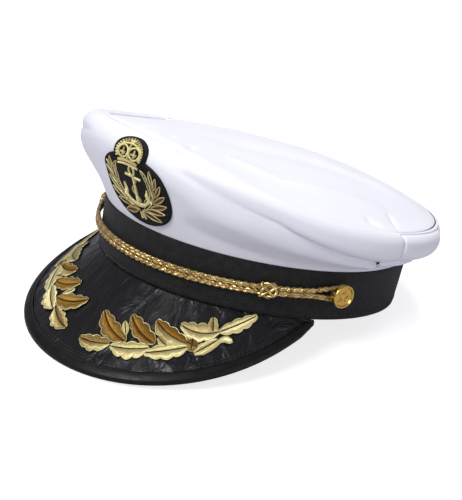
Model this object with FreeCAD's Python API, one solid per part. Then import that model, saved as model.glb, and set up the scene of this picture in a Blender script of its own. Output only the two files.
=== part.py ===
import FreeCAD, Part
import math
import os

# Military peaked cap, in millimetres.
# The origin is the middle of the head opening, level with the lower edge of the band.
# +Z is up, -Y is the front (visor) and +X is the wearer's left.
# Angles around the cap run from 0 at the front to +90 at the wearer's left and 180 at the back.

Vector = FreeCAD.Vector

# Band: the oval that everything else follows
band_half_width = 87.7
band_half_length = 104.0
band_egg = 0.05             # how much narrower the front is than the back
band_height = 31.0
band_flare_side = 1.75      # growth of the half width from the lower to the upper edge
band_flare_end = 0.8
band_lean = 2.4             # how far the upper edge stands forward
band_thickness = 1.2
band_join_gap = 0.4
stiffener_thickness = 0.8
stiffener_margin = 1.5      # the strip stops this far short of both edges of the band
layer_gap = 0.1
pocket_depth = 2.8          # room behind the strip for the button shanks and their pins
sweatband_thickness = 1.0
sweatband_lift = 0.8
back_tape_width = 14.0
back_tape_thickness = 0.6

# Crown: (front, side, back) values; growth is measured outwards from the band's upper edge
cloth_thickness = 0.9
crown_mid_rise = (19.0, 11.0, -6.5)
crown_mid_growth = (12.0, 6.5, 7.2)
crown_roll_rise = (31.0, 16.0, -1.0)
crown_roll_growth = (18.5, 14.0, 11.5)
crown_wide_rise = (42.0, 22.5, 9.0)
crown_wide_growth = (23.0, 19.0, 14.0)
crown_shoulder_rise = (51.0, 28.0, 18.5)
crown_shoulder_growth = (18.5, 17.5, 13.5)
crown_seam_rise = (55.1, 30.5, 22.8)
crown_seam_growth = (7.0, 12.0, 11.0)
crown_peak_share = 0.45     # share of the front-to-back rise that is gathered at the front
crown_dome = 11.0
crown_foot_rise = (0.5, 0.5, 1.7)
crown_foot_growth = (0.0, 0.0, 0.8)
side_seam_angle = 112.0
seam_gap = 0.3
lining_gap = 2.6
lining_thickness = 0.5
front_stay_angle = 32.0
front_stay_thickness = 0.9
front_stay_gap = 0.25

# Visor
visor_depth = 63.6          # along the slope at the front
visor_half_angle = 77.0
visor_fullness = 1.23
visor_slope_front = 49.6
visor_slope_end = 43.9
visor_end_trim = 2.2        # degrees cut off each pointed end
visor_drop = 0.4            # gap between the band's lower edge and the visor's cover
visor_cover_thickness = 0.5
visor_board_thickness = 1.6
visor_flange_height = 9.0
visor_flange_thickness = 0.9
binding_width = 4.8
binding_gap = 0.35
binding_thickness = 0.9

# Chin cord
cord_radius = 1.55
cord_lane_gap = 0.1
cord_stand_off = 2.8        # cord's centre line to the band's face
cord_pivot_height = 19.0
cord_front_height = 14.0
cord_end_gap = 0.3
cord_loop_clearance = 0.55
cord_loop_stand_off = 4.2
cord_lead = 4.0
knot_angle = 58.5           # direction of the cord's outward normal at each knot
knot_half_angle = 3.3
knot_wrap_radius = 4.6
knot_end_wrap_radius = 4.0
knot_inner_wall = 0.5
knot_clearance = 0.14
knot_zone_margin = 0.6
knot_wrap_share = 0.96      # width of a wrap as a share of its third of the knot
knot_travel = 7.0
knot_arc = 3                # which of the cord's arcs carries the knot

# Side buttons
button_angle = 80.0
button_radius = 7.25
button_thickness = 2.9
button_wall = 0.5
button_rim = 1.1
button_gap = 0.8
star_radius = 4.6
star_line = 0.45
star_height = 0.35
shank_radius = 1.45
shank_clearance = 0.3
eyelet_wall = 0.35
eyelet_flange_radius = 3.9
eyelet_seat = 0.3           # clearance of each flange over the curved band
washer_radius = 3.4
washer_thickness = 0.35
pin_radius = 0.45
pin_length = 8.0

# Badge: sizes on the flat patch; it is set a little off centre and turned
badge_centre_x = 6.5
badge_foot_shift = 5.0
badge_foot_rise = 3.5       # foot of the badge above the band's upper edge
badge_turn = -9.0
badge_upright = 0.9         # height of the patch as it leans, as a share of its length
badge_head_radius = 12.0
badge_border_width = 1.5
badge_rim_gap = 0.4
badge_base_thickness = 1.1
badge_relief = 0.8
badge_gap = 0.3
badge_layer_gap = 0.6
wreath_radius = 14.2
wreath_leaves = 5
# (height, half width) of the pear-shaped body and the round head over it
badge_outline = ((0, 5.5), (2.2, 11.0), (6.5, 16.2), (13, 20.2), (21, 22.2), (28, 21.8), (34, 18.8),
                 (38, 14.4), (41, 12.0), (46, 11.9), (51, 9.0), (53.8, 4.5))

# Leaf sprays: (root angle, root depth, tip angle, tip depth, half width), mirrored to the other side
leaf_relief = 0.9
leaf_gap = 0.12
leaf_end_width = 0.5
leaves = (
    (13.1, 42.7, 3.0, 47.9, 5.6),
    (16.5, 39.1, 4.3, 27.2, 6.3),
    (14.8, 34.3, 12.9, 27.2, 2.0),
    (24.2, 33.5, 13.4, 22.9, 6.0),
    (23.0, 38.6, 13.6, 45.0, 5.0),
    (32.8, 25.8, 22.1, 19.8, 6.4),
    (33.3, 31.3, 23.6, 41.1, 4.9),
    (41.5, 18.6, 29.8, 17.8, 6.0),
    (40.3, 13.9, 39.5, 8.5, 2.6),
    (42.6, 16.4, 53.5, 3.4, 4.6),
    (41.0, 22.6, 36.8, 28.0, 2.6),
)
acorn_place = (35.0, 28.4)
acorn_radius = 3.9
stem_route = ((36.6, 35.0), (39.6, 30.4), (42.6, 25.2), (45.0, 22.0), (47.0, 21.6))
stem_half_width = 1.2

station_count = 48          # stations right round the cap


# ---------------------------------------------------------------- shared geometry

def band_point(angle, height, out=0.0):
    """Point at a distance outside the band's face."""
    share = height / band_height
    turn = math.radians(angle)
    wide = band_half_width + band_flare_side * share
    long = band_half_length + band_flare_end * share
    x = wide * math.sin(turn) * (1 - band_egg * math.cos(turn))
    y = -long * math.cos(turn) - band_lean * share
    normal = band_normal(angle)
    return Vector(x + normal.x * out, y + normal.y * out, height)


def band_normal(angle):
    """Level direction straight out of the band."""
    turn = math.radians(angle)
    egg_turn = math.cos(turn) * (1 - band_egg * math.cos(turn)) + band_egg * math.sin(turn) ** 2
    dx = band_half_width * egg_turn
    dy = band_half_length * math.sin(turn)
    return Vector(dy, -dx, 0).normalize()


def around(angle, values, peak=0.0):
    """Smooth value between the front, side and back ones."""
    front, side, back = values
    forward = math.cos(math.radians(angle))
    middle = (front + back) / 2
    tilt = (front - back) / 2 * ((1 - peak) * forward + peak * forward ** 3)
    return side + (middle - side) * forward ** 2 + tilt


def offset_grid(grid, distance):
    """The grid moved along its own normals (right-handed from its first to its second direction)."""
    rows, columns = len(grid), len(grid[0])

    def moved(i, j):
        along = grid[min(i + 1, rows - 1)][j] - grid[max(i - 1, 0)][j]
        across = grid[i][min(j + 1, columns - 1)] - grid[i][max(j - 1, 0)]
        return grid[i][j] + along.cross(across).normalize() * distance

    return [[moved(i, j) for j in range(columns)] for i in range(rows)]


def solid_between(upper, lower):
    """Closed solid between two grids of the same size."""
    surfaces = []
    for grid in (upper, lower):
        surface = Part.BSplineSurface()
        surface.interpolate(grid)
        surfaces.append(surface)
    faces = [surface.toShape() for surface in surfaces]
    for side in range(4):
        edges = []
        for surface in surfaces:
            u0, u1, v0, v1 = surface.bounds()
            curve = (surface.uIso(u0), surface.uIso(u1), surface.vIso(v0), surface.vIso(v1))[side]
            edges.append(curve.toShape())
        faces.append(Part.makeRuledSurface(edges[0], edges[1]))
    shell = Part.makeShell(faces)
    shell.sewShape()
    solid = Part.makeSolid(shell)
    if solid.Volume < 0:
        solid.reverse()
    return solid


def sheet(grid, near, far):
    """Layer of a surface between two depths below it."""
    return solid_between(offset_grid(grid, -near), offset_grid(grid, -far))


def spread(start, end, count):
    """Evenly spaced values from start to end."""
    return [start + (end - start) * i / (count - 1) for i in range(count)]


def save(name, shape):
    shape.exportStep("parts/%s.step" % name)


# ---------------------------------------------------------------- band and sweatband

def band_layer(near, far, low, high):
    """Strip right round the cap, open at the join at the back."""
    half_gap = math.degrees(band_join_gap / 2 / band_half_length)
    angles = spread(-180 + half_gap, 180 - half_gap, station_count + 1)
    heights = spread(low, high, 4)
    outer = [[band_point(a, z, -near) for z in heights] for a in angles]
    inner = [[band_point(a, z, -far) for z in heights] for a in angles]
    return solid_between(outer, inner)


stiffener_near = band_thickness + layer_gap
stiffener_far = stiffener_near + stiffener_thickness
sweatband_near = stiffener_far + pocket_depth
sweatband_far = sweatband_near + sweatband_thickness


def button_hole(angle, far):
    """Round hole through the band for one button's eyelet."""
    start = band_point(angle, cord_pivot_height, 3 * band_thickness)
    radius = shank_radius + shank_clearance + eyelet_wall + layer_gap
    return Part.makeCylinder(radius, far + 4 * band_thickness, start, -band_normal(angle))


def make_band():
    holes = [button_hole(side * button_angle, stiffener_far) for side in (-1, 1)]
    save("hat_band", band_layer(0, band_thickness, 0, band_height).cut(holes))
    strip = band_layer(stiffener_near, stiffener_far, stiffener_margin, band_height - stiffener_margin)
    save("band_stiffener", strip.cut(holes))
    save("sweatband", band_layer(sweatband_near, sweatband_far, sweatband_lift, band_height - layer_gap))

    # The tape covers the sweatband's join on the inside, at the back
    half = math.degrees(back_tape_width / 2 / band_half_length)
    angles = spread(180 - half, 180 + half, 5)
    heights = spread(sweatband_lift, band_height - layer_gap, 4)
    near = sweatband_far + layer_gap
    outer = [[band_point(a, z, -near) for z in heights] for a in angles]
    inner = [[band_point(a, z, -near - back_tape_thickness) for z in heights] for a in angles]
    save("sweatband_back_tape", solid_between(outer, inner))


# ---------------------------------------------------------------- crown

def crown_profile(angle):
    """Outer face of the side panels at one angle, from the band's edge up to the top seam."""
    rises = (crown_foot_rise, crown_mid_rise, crown_roll_rise, crown_wide_rise,
             crown_shoulder_rise, crown_seam_rise)
    growths = (crown_foot_growth, crown_mid_growth, crown_roll_growth, crown_wide_growth,
               crown_shoulder_growth, crown_seam_growth)
    points = []
    for rise, growth in zip(rises, growths):
        point = band_point(angle, band_height, around(angle, growth))
        point.z = band_height + around(angle, rise, crown_peak_share)
        points.append(point)
    curve = Part.BSplineCurve()
    curve.interpolate(points)
    return curve.discretize(17)


def crown_grid(start, end, count):
    """Grid of the side panels between two angles, with its normals pointing out of the cap."""
    return [crown_profile(angle) for angle in spread(start, end, count)]


def seam_point(angle, inset):
    point = band_point(angle, band_height, around(angle, crown_seam_growth) - inset)
    point.z = band_height + around(angle, crown_seam_rise, crown_peak_share)
    return point


def top_grid(inset, count=15):
    """Grid over the whole top panel: a square drawn out to the oval of the top seam."""
    centre_y = (seam_point(0, 0).y + seam_point(180, 0).y) / 2
    rows = []
    for u in spread(-1, 1, count):
        row = []
        for v in spread(-1, 1, count):
            across = u * math.sqrt(1 - v * v / 2)
            along = v * math.sqrt(1 - u * u / 2)
            reach = math.hypot(across, along)
            angle = math.degrees(math.atan2(across, -along)) if reach else 0.0
            rim = seam_point(angle, inset)
            forward = -along
            front, side, back = crown_seam_rise
            middle = (front + back) / 2
            tilt = (front - back) / 2 * ((1 - crown_peak_share) * forward + crown_peak_share * forward ** 3)
            saddle = (middle - side) / 2
            rise = (side + middle) / 2 + saddle * (forward ** 2 - across ** 2) + tilt
            dome = crown_dome * (1 - reach * reach)
            y = centre_y + (rim.y - centre_y) * reach
            row.append(Vector(rim.x * reach, y, band_height + rise + dome))
        rows.append(row)
    return rows


def make_crown():
    panel_gap = math.degrees(seam_gap / band_half_length)
    front = crown_grid(-side_seam_angle, side_seam_angle, 31)
    back = crown_grid(side_seam_angle + panel_gap, 360 - side_seam_angle - panel_gap, 21)
    save("crown_front_panel", sheet(front, 0, cloth_thickness))
    save("crown_back_panel", sheet(back, 0, cloth_thickness))
    save("crown_top_panel", sheet(top_grid(cloth_thickness + seam_gap), 0, cloth_thickness))

    stay = [row[1:-4] for row in crown_grid(-front_stay_angle, front_stay_angle, 11)]
    stay_near = cloth_thickness + front_stay_gap
    save("front_stay", sheet(stay, stay_near, stay_near + front_stay_thickness))

    lining_far = lining_gap + lining_thickness
    for name, grid in (("front", front), ("back", back)):
        save("%s_lining" % name, sheet([row[1:-2] for row in grid], lining_gap, lining_far))
    top_inset = crown_seam_growth[1] - crown_seam_growth[0] + lining_gap
    top = top_grid(top_inset)
    save("top_lining", sheet(top, lining_far, lining_far + lining_thickness))


# ---------------------------------------------------------------- visor

def visor_width(angle):
    return visor_depth * (1 - (angle / visor_half_angle) ** 2) ** visor_fullness


def visor_slope(angle):
    share = (angle / visor_half_angle) ** 2
    return math.radians(visor_slope_front + (visor_slope_end - visor_slope_front) * share)


def visor_point(angle, depth, lift=0.0):
    """Point on the visor, a given way down its slope from the band and a given height over its face."""
    slope = visor_slope(angle)
    out = depth * math.cos(slope) + lift * math.sin(slope)
    point = band_point(angle, 0, out)
    point.z = -visor_drop - depth * math.sin(slope) + lift * math.cos(slope)
    return point


def visor_angles(count=41):
    limit = visor_half_angle - visor_end_trim
    return spread(-limit, limit, count)


def visor_layer(top, bottom):
    """Layer of the sloped part of the visor between two heights over its face."""
    def grid(lift):
        return [[visor_point(a, visor_width(a) * s, lift) for s in spread(0, 1, 9)] for a in visor_angles()]
    return solid_between(grid(top), grid(bottom))


board_top = -visor_cover_thickness - layer_gap
board_bottom = board_top - visor_board_thickness
under_top = board_bottom - layer_gap
visor_bottom = under_top - visor_cover_thickness


def make_visor():
    save("visor_top_cover", visor_layer(0, -visor_cover_thickness))
    save("visor_under_cover", visor_layer(under_top, visor_bottom))
    save("visor_board", visor_layer(board_top, board_bottom))

    # The flange stands up behind the band's stiffener and is sewn to it
    near = stiffener_far + layer_gap
    heights = spread(board_bottom, visor_flange_height, 5)
    outer = [[band_point(a, z, -near) for z in heights] for a in visor_angles()]
    inner = [[band_point(a, z, -near - visor_flange_thickness) for z in heights] for a in visor_angles()]
    save("visor_flange", solid_between(outer, inner))
    save("visor_binding", make_binding())


def make_binding():
    """Rolled strip folded over the visor's edge: a U in section, open towards the band."""
    middle = visor_bottom / 2
    inner_half = -visor_bottom / 2 + binding_gap
    outer_half = inner_half + binding_thickness

    def section(angle, half):
        width = visor_width(angle)
        lip = min(binding_width, width)
        end = width + binding_gap
        points = [visor_point(angle, end - lip * s, middle + half) for s in spread(1, 0, 7)]
        for turn in (60, 30, 0, -30, -60):
            bend = math.radians(turn)
            points.append(visor_point(angle, end + half * math.cos(bend), middle + half * math.sin(bend)))
        points += [visor_point(angle, end - lip * s, middle - half) for s in spread(0, 1, 7)]
        return points

    outer = [section(angle, outer_half) for angle in visor_angles()]
    inner = [section(angle, inner_half) for angle in visor_angles()]
    return solid_between(outer, inner)


# ---------------------------------------------------------------- leaf sprays

def leaf_strip(route, half_widths):
    """Raised strip lying on the visor along (angle, depth) points."""
    degrees_per_mm = math.degrees(1 / (band_half_length + visor_depth / 4))
    flat = [(angle / degrees_per_mm, depth) for angle, depth in route]
    rows = ribbon(flat, half_widths)
    grids = [[[visor_point(a * degrees_per_mm, depth, lift) for a, depth in row] for row in rows]
             for lift in (leaf_gap + leaf_relief, leaf_gap)]
    return solid_between(*grids)


def leaf(root, tip, half_width):
    """Pointed leaf lying on the visor; root and tip are (angle, depth)."""
    shares = spread(0, 1, 7)
    route = [(root[0] + (tip[0] - root[0]) * s, root[1] + (tip[1] - root[1]) * s) for s in shares]
    fullness = half_width - leaf_end_width
    widths = [leaf_end_width + fullness * math.sin(math.pi * s ** 0.85) for s in shares]
    return leaf_strip(route, widths)


def mirrored(shape):
    return shape.mirror(Vector(0, 0, 0), Vector(1, 0, 0))


def make_sprays():
    left_leaves = [leaf(item[0:2], item[2:4], item[4]) for item in leaves]
    centre = visor_point(acorn_place[0], acorn_place[1], leaf_gap)
    up = (visor_point(acorn_place[0], acorn_place[1], 1) - visor_point(acorn_place[0], acorn_place[1], 0))
    acorn = Part.makeCylinder(acorn_radius, 2 * leaf_relief, centre, up)
    stem = leaf_strip(stem_route, [stem_half_width] * len(stem_route))
    for side, turn in (("left", lambda shape: shape), ("right", mirrored)):
        pieces = [turn(piece) for piece in left_leaves]
        body = pieces[0].fuse(pieces[1:])
        save("%s_oak_leaves" % side, body)
        save("%s_acorn" % side, turn(acorn).cut(body))
        save("%s_leaf_stem" % side, turn(stem))


# ---------------------------------------------------------------- badge

def ribbon(points, half_widths):
    """Rows of flat points across a line, for a strip whose half width changes along it."""
    rows = []
    for i, (x, z) in enumerate(points):
        before, after = points[max(i - 1, 0)], points[min(i + 1, len(points) - 1)]
        run = (after[0] - before[0], after[1] - before[1])
        length = math.hypot(*run)
        across = (-run[1] / length, run[0] / length)
        rows.append([(x + across[0] * half_widths[i] * side, z + across[1] * half_widths[i] * side)
                     for side in (-1, 0, 1)])
    return rows


def bar(start, end, half_width):
    points = [(start[0] + (end[0] - start[0]) * s, start[1] + (end[1] - start[1]) * s)
              for s in spread(0, 1, 3)]
    return ribbon(points, [half_width] * 3)


def bow(centre, radius, first, last, half_width, tip_width=None):
    """Strip along an arc; angles run from straight up towards +x."""
    turns = [math.radians(turn) for turn in spread(first, last, 13)]
    points = [(centre[0] + radius * math.sin(t), centre[1] + radius * math.cos(t)) for t in turns]
    tip_width = half_width if tip_width is None else tip_width
    widths = [half_width + (tip_width - half_width) * abs(s) for s in spread(-1, 1, 13)]
    return ribbon(points, widths)


def petal(root, turn, length, half_width):
    bend = math.radians(turn)
    points = [(root[0] + length * s * math.sin(bend), root[1] + length * s * math.cos(bend))
              for s in spread(0, 1, 7)]
    return ribbon(points, [0.25 + half_width * math.sin(math.pi * s) for s in spread(0, 1, 7)])


def make_badge():
    surface = Part.BSplineSurface()
    surface.interpolate(crown_grid(-48, 56, 21))
    swing = math.radians(badge_turn)
    foot_z = band_height + badge_foot_rise

    def laid(x, z, lift):
        """Point of the patch's flat shape laid on the front of the crown."""
        place_x = badge_centre_x + badge_foot_shift + x * math.cos(swing) + z * math.sin(swing)
        place_z = foot_z + badge_upright * (z * math.cos(swing) - x * math.sin(swing))
        line = Part.Line(Vector(place_x, 0, place_z), Vector(place_x, -1, place_z))
        hits = line.intersectCS(surface)[0]
        point = min((Vector(hit.X, hit.Y, hit.Z) for hit in hits), key=lambda hit: hit.y)
        return point + outward_normal(surface, point) * lift

    def stitched(rows, near, far):
        grids = [[[laid(x, z, lift) for x, z in row] for row in rows] for lift in (far, near)]
        return solid_between(*grids)

    base_top = badge_gap + badge_base_thickness
    relief = (base_top + badge_layer_gap, base_top + badge_layer_gap + badge_relief)

    patch = [[(half * side, z) for side in spread(-1, 1, 7)] for z, half in badge_outline]
    save("badge_backing", stitched(patch, badge_gap, base_top))

    right = [(half, z) for z, half in badge_outline]
    left = [(-half, z) for z, half in reversed(badge_outline)]
    rim = [(badge_rim_gap, 0)] + right + [(0, badge_outline[-1][0])] + left + [(-badge_rim_gap, 0)]
    path = [rows[2] for rows in ribbon(rim, [0.0] * len(rim))]
    inner = [rows[2] for rows in ribbon(rim, [badge_border_width] * len(rim))]
    middle = [((a[0] + b[0]) / 2, (a[1] + b[1]) / 2) for a, b in zip(path, inner)]
    save("badge_border", stitched([list(row) for row in zip(path, middle, inner)], *relief))

    wreath = []
    for side in (-1, 1):
        for step in range(wreath_leaves):
            climb = math.radians(28 + 25 * step)
            x, z = side * wreath_radius * math.sin(climb), wreath_radius + 5.5 - wreath_radius * math.cos(climb)
            wreath.append(petal((x, z), side * (62 - 19 * step), 5.4, 1.4))
    save("badge_wreath", Part.makeCompound([stitched(rows, *relief) for rows in wreath]))

    anchor = [bar((0, 11.6), (0, 20.0), 0.75), bar((-3.4, 20.9), (3.4, 20.9), 0.6),
              bow((0, 23.6), 1.6, -165, 165, 0.45)]
    anchor += [bow((0, 15.6), 5.2, side * 108, side * 166, 0.8) for side in (-1, 1)]
    save("badge_anchor", Part.makeCompound([stitched(rows, *relief) for rows in anchor]))

    head = badge_outline[-1][0] - badge_head_radius
    crown = [bar((-6.6, head - 6.0), (6.6, head - 6.0), 1.0)]
    crown += [bow((side * 4.0, head - 1.0), 3.4, -150, 150, 0.55) for side in (-1, 1)]
    crown += [bar((0, head + 4.0), (0, head + 7.2), 0.6)]
    save("badge_crown", Part.makeCompound([stitched(rows, *relief) for rows in crown]))


def outward_normal(surface, point):
    u, v = surface.parameter(point)
    normal = surface.normal(u, v)
    return normal if normal.y < 0 else -normal


# ---------------------------------------------------------------- chin cord

# The cord lies in one tilted plane through both buttons; its centre line there is a chain of tangent arcs.
pivot_centre = Vector(0, band_point(button_angle, cord_pivot_height).y, cord_pivot_height)
front_reach = pivot_centre.y - band_point(0, cord_front_height, cord_stand_off).y
cord_tilt = math.atan2(cord_pivot_height - cord_front_height, front_reach)
plane_forward = Vector(0, -math.cos(cord_tilt), -math.sin(cord_tilt))
plane_up = Vector(0, -math.sin(cord_tilt), math.cos(cord_tilt))
cord_lane = cord_radius + cord_lane_gap / 2


def cord_guide(angle):
    """Where the cord's centre line would run if it followed the band exactly, in the tilted plane."""
    share = (math.cos(math.radians(angle)) - math.cos(math.radians(button_angle)))
    height = cord_pivot_height - share * (cord_pivot_height - cord_front_height)
    point = band_point(angle, height, cord_stand_off)
    return (point.x, (pivot_centre.y - point.y) / math.cos(cord_tilt))


def normal_angle(angle):
    normal = band_normal(angle)
    return math.degrees(math.atan2(normal.x, -normal.y))


def angle_for_normal(wanted):
    """Angle around the cap at which the band faces a given direction."""
    low, high = 0.0, 90.0
    for _ in range(40):
        middle = (low + high) / 2
        low, high = (middle, high) if normal_angle(middle) < wanted else (low, middle)
    return (low + high) / 2


def leaving_angle():
    """Angle at which a straight line from the button's shank just touches the cord's guide."""
    target = loop_centre_flat()
    low, high = button_angle - 30, button_angle
    for _ in range(40):
        middle = (low + high) / 2
        x, f = cord_guide(middle)
        facing = math.radians(normal_angle(middle))
        outside = (target[0] - x) * math.sin(facing) + (target[1] - f) * math.cos(facing)
        low, high = (middle, high) if outside < 0 else (low, middle)
    return (low + high) / 2


def loop_centre_flat():
    point = band_point(button_angle, cord_pivot_height, cord_loop_stand_off)
    return (point.x, (pivot_centre.y - point.y) / math.cos(cord_tilt))


def build_chain():
    """Tangent arcs from the front to where the cord leaves the band: (start, end, centre, radius)."""
    knot_zone = knot_travel + knot_half_angle + knot_zone_margin
    stops = [0, 16, 32, knot_angle - knot_zone, knot_angle + knot_zone]
    stops = [angle_for_normal(stop) for stop in stops] + [leaving_angle()]
    chain = []
    x, f = cord_guide(0)
    for start, end in zip(stops, stops[1:]):
        path = [cord_guide(angle) for angle in spread(start, end, 60)]
        length = sum(math.dist(a, b) for a, b in zip(path, path[1:]))
        first, last = normal_angle(start), normal_angle(end)
        radius = length / math.radians(last - first)
        facing = math.radians(first)
        centre = (x - radius * math.sin(facing), f - radius * math.cos(facing))
        chain.append((first, last, centre, radius))
        facing = math.radians(last)
        x, f = centre[0] + radius * math.sin(facing), centre[1] + radius * math.cos(facing)
    return chain


def in_plane(x, f, lane=0.0):
    return pivot_centre + Vector(x, 0, 0) + plane_forward * f + plane_up * lane


def chain_point(facing, lane):
    """Point of the cord whose outward normal has a given direction; negative is the wearer's right."""
    side = -1 if facing < 0 else 1
    for first, last, centre, radius in cord_chain:
        if abs(facing) <= last + 1e-9:
            break
    turn = math.radians(abs(facing))
    x = centre[0] + radius * math.sin(turn)
    f = centre[1] + radius * math.cos(turn)
    return in_plane(side * x, f, lane)


def chain_edges(start, end, lane):
    """Arcs of one lane from one normal direction to a larger one."""
    limits = [last for _, last, _, _ in cord_chain[:-1]]
    inner = [side * limit for limit in limits for side in (-1, 1) if start < side * limit < end]
    stops = sorted([start, end] + inner)
    edges = []
    for a, b in zip(stops, stops[1:]):
        points = [chain_point(facing, lane) for facing in (a, (a + b) / 2, b)]
        edges.append(Part.Arc(*points).toShape())
    return edges


def loop_edges(side, lane):
    """From the end of the chain in one lane round the button's shank and back in the other lane."""
    facing = cord_chain[-1][1]
    x, f = loop_centre_flat()
    shank = in_plane(side * x, f)
    start = chain_point(side * facing, 0)
    along = (shank - start).normalize()
    up = plane_up * math.copysign(1, lane)
    height = abs(lane)
    reach = (shank - start).Length
    radius = shank_radius + cord_loop_clearance + cord_radius
    rest = reach - cord_lead
    slant = math.asin(radius / math.hypot(rest, height)) - math.atan2(height, rest)
    blend = 0.45 * cord_lead / math.tan(slant / 2)
    cut = blend * math.tan(slant / 2)

    def at(forward, rise):
        return start + along * forward + up * rise

    ease = at(cord_lead - cut, height)
    ease_end = at(cord_lead + cut * math.cos(slant), height + cut * math.sin(slant))
    ease_middle_turn = slant / 2
    ease_middle = at(cord_lead - cut + blend * math.sin(ease_middle_turn),
                     height + blend * (1 - math.cos(ease_middle_turn)))
    touch = at(reach - radius * math.sin(slant), radius * math.cos(slant))
    far = at(reach + radius, 0)

    def flip(point):
        return point - up * (2 * (point - start).dot(up))

    edges = [Part.LineSegment(at(0, height), ease), Part.Arc(ease, ease_middle, ease_end),
             Part.LineSegment(ease_end, touch), Part.Arc(touch, far, flip(touch)),
             Part.LineSegment(flip(touch), flip(ease_end)),
             Part.Arc(flip(ease_end), flip(ease_middle), flip(ease)),
             Part.LineSegment(flip(ease), at(0, -height))]
    return [edge.toShape() for edge in edges], blend


def strand(side, lane):
    """One cord: out of the far knot, along its lane, round the near button and back into the near knot."""
    gap = math.degrees(cord_end_gap / 2 / cord_chain[knot_arc][3])
    leave = cord_chain[-1][1]
    loop, blend = loop_edges(side, lane)
    if side > 0:
        outward = chain_edges(-knot_angle + gap, leave, lane)
        back = chain_edges(knot_angle + gap, leave, -lane)
    else:
        outward = chain_edges(-leave, knot_angle - gap, lane)
        back = chain_edges(-leave, -knot_angle - gap, -lane)
    path = Part.Wire(Part.__sortEdges__(outward + loop + back))
    first = path.Edges[0]
    profile = Part.Wire(Part.makeCircle(cord_radius, first.valueAt(first.FirstParameter),
                                        first.tangentAt(first.FirstParameter)))
    body = path.makePipeShell([profile], True, False)
    print("strand: length %.1f, volume %.1f of %.1f, blend radius %.1f"
          % (path.Length, body.Volume, math.pi * cord_radius ** 2 * path.Length, blend))
    return body


def knot():
    """Three wraps side by side round both strands, each flattened towards the band."""
    _, _, centre, radius = cord_chain[knot_arc]
    axis_point = in_plane(*centre)
    outward = (chain_point(knot_angle, 0) - axis_point).normalize()
    along = outward.cross(plane_up)

    def circle(wrap_radius, reach, rise):
        middle = axis_point + outward * (radius + reach) + plane_up * rise
        return Part.Face(Part.Wire(Part.makeCircle(wrap_radius, middle, along)))

    hole_radius = cord_radius + knot_clearance
    tunnels = [circle(hole_radius, 0, lane) for lane in (-cord_lane, cord_lane)]
    corners = [axis_point + outward * (radius + reach) + plane_up * rise
               for reach, rise in ((-hole_radius, -cord_lane), (hole_radius, -cord_lane),
                                   (hole_radius, cord_lane), (-hole_radius, cord_lane))]
    tunnels.append(Part.Face(Part.makePolygon(corners + corners[:1])))

    wraps = []
    third = knot_half_angle / 3
    wrap_radii = (knot_end_wrap_radius, knot_wrap_radius, knot_end_wrap_radius)
    for step, wrap_radius in zip((-1, 0, 1), wrap_radii):
        reach = wrap_radius - cord_stand_off + knot_inner_wall
        section = circle(wrap_radius, reach, 0).cut(tunnels).Faces[0]
        section.rotate(axis_point, plane_up, (2 * step - knot_wrap_share) * third)
        wraps.append(section.revolve(axis_point, plane_up, 2 * knot_wrap_share * third))
    return Part.makeCompound(wraps)


def make_cord():
    save("chin_cord_upper", strand(1, cord_lane))
    save("chin_cord_lower", strand(-1, -cord_lane))
    left_knot = knot()
    save("left_slide_knot", left_knot)
    save("right_slide_knot", mirrored(left_knot))


# ---------------------------------------------------------------- side buttons

def revolved(points, origin, axis):
    """Solid turned about the button's axis from (radius, distance out of the band) points."""
    outline = [Vector(radius, 0, out) for radius, out in points]
    face = Part.Face(Part.makePolygon(outline + outline[:1]))
    solid = face.revolve(Vector(0, 0, 0), Vector(0, 0, 1), 360)
    solid.Placement = FreeCAD.Placement(origin, FreeCAD.Rotation(Vector(0, 0, 1), axis))
    return solid


def star_outline(outer):
    """Five-pointed star on the plane z = 0."""
    inner = outer * 0.45
    points = []
    for step in range(10):
        radius = outer if step % 2 == 0 else inner
        turn = math.radians(90 + 36 * step)
        points.append(Vector(radius * math.cos(turn), radius * math.sin(turn), 0))
    return Part.Face(Part.makePolygon(points + points[:1]))


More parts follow.
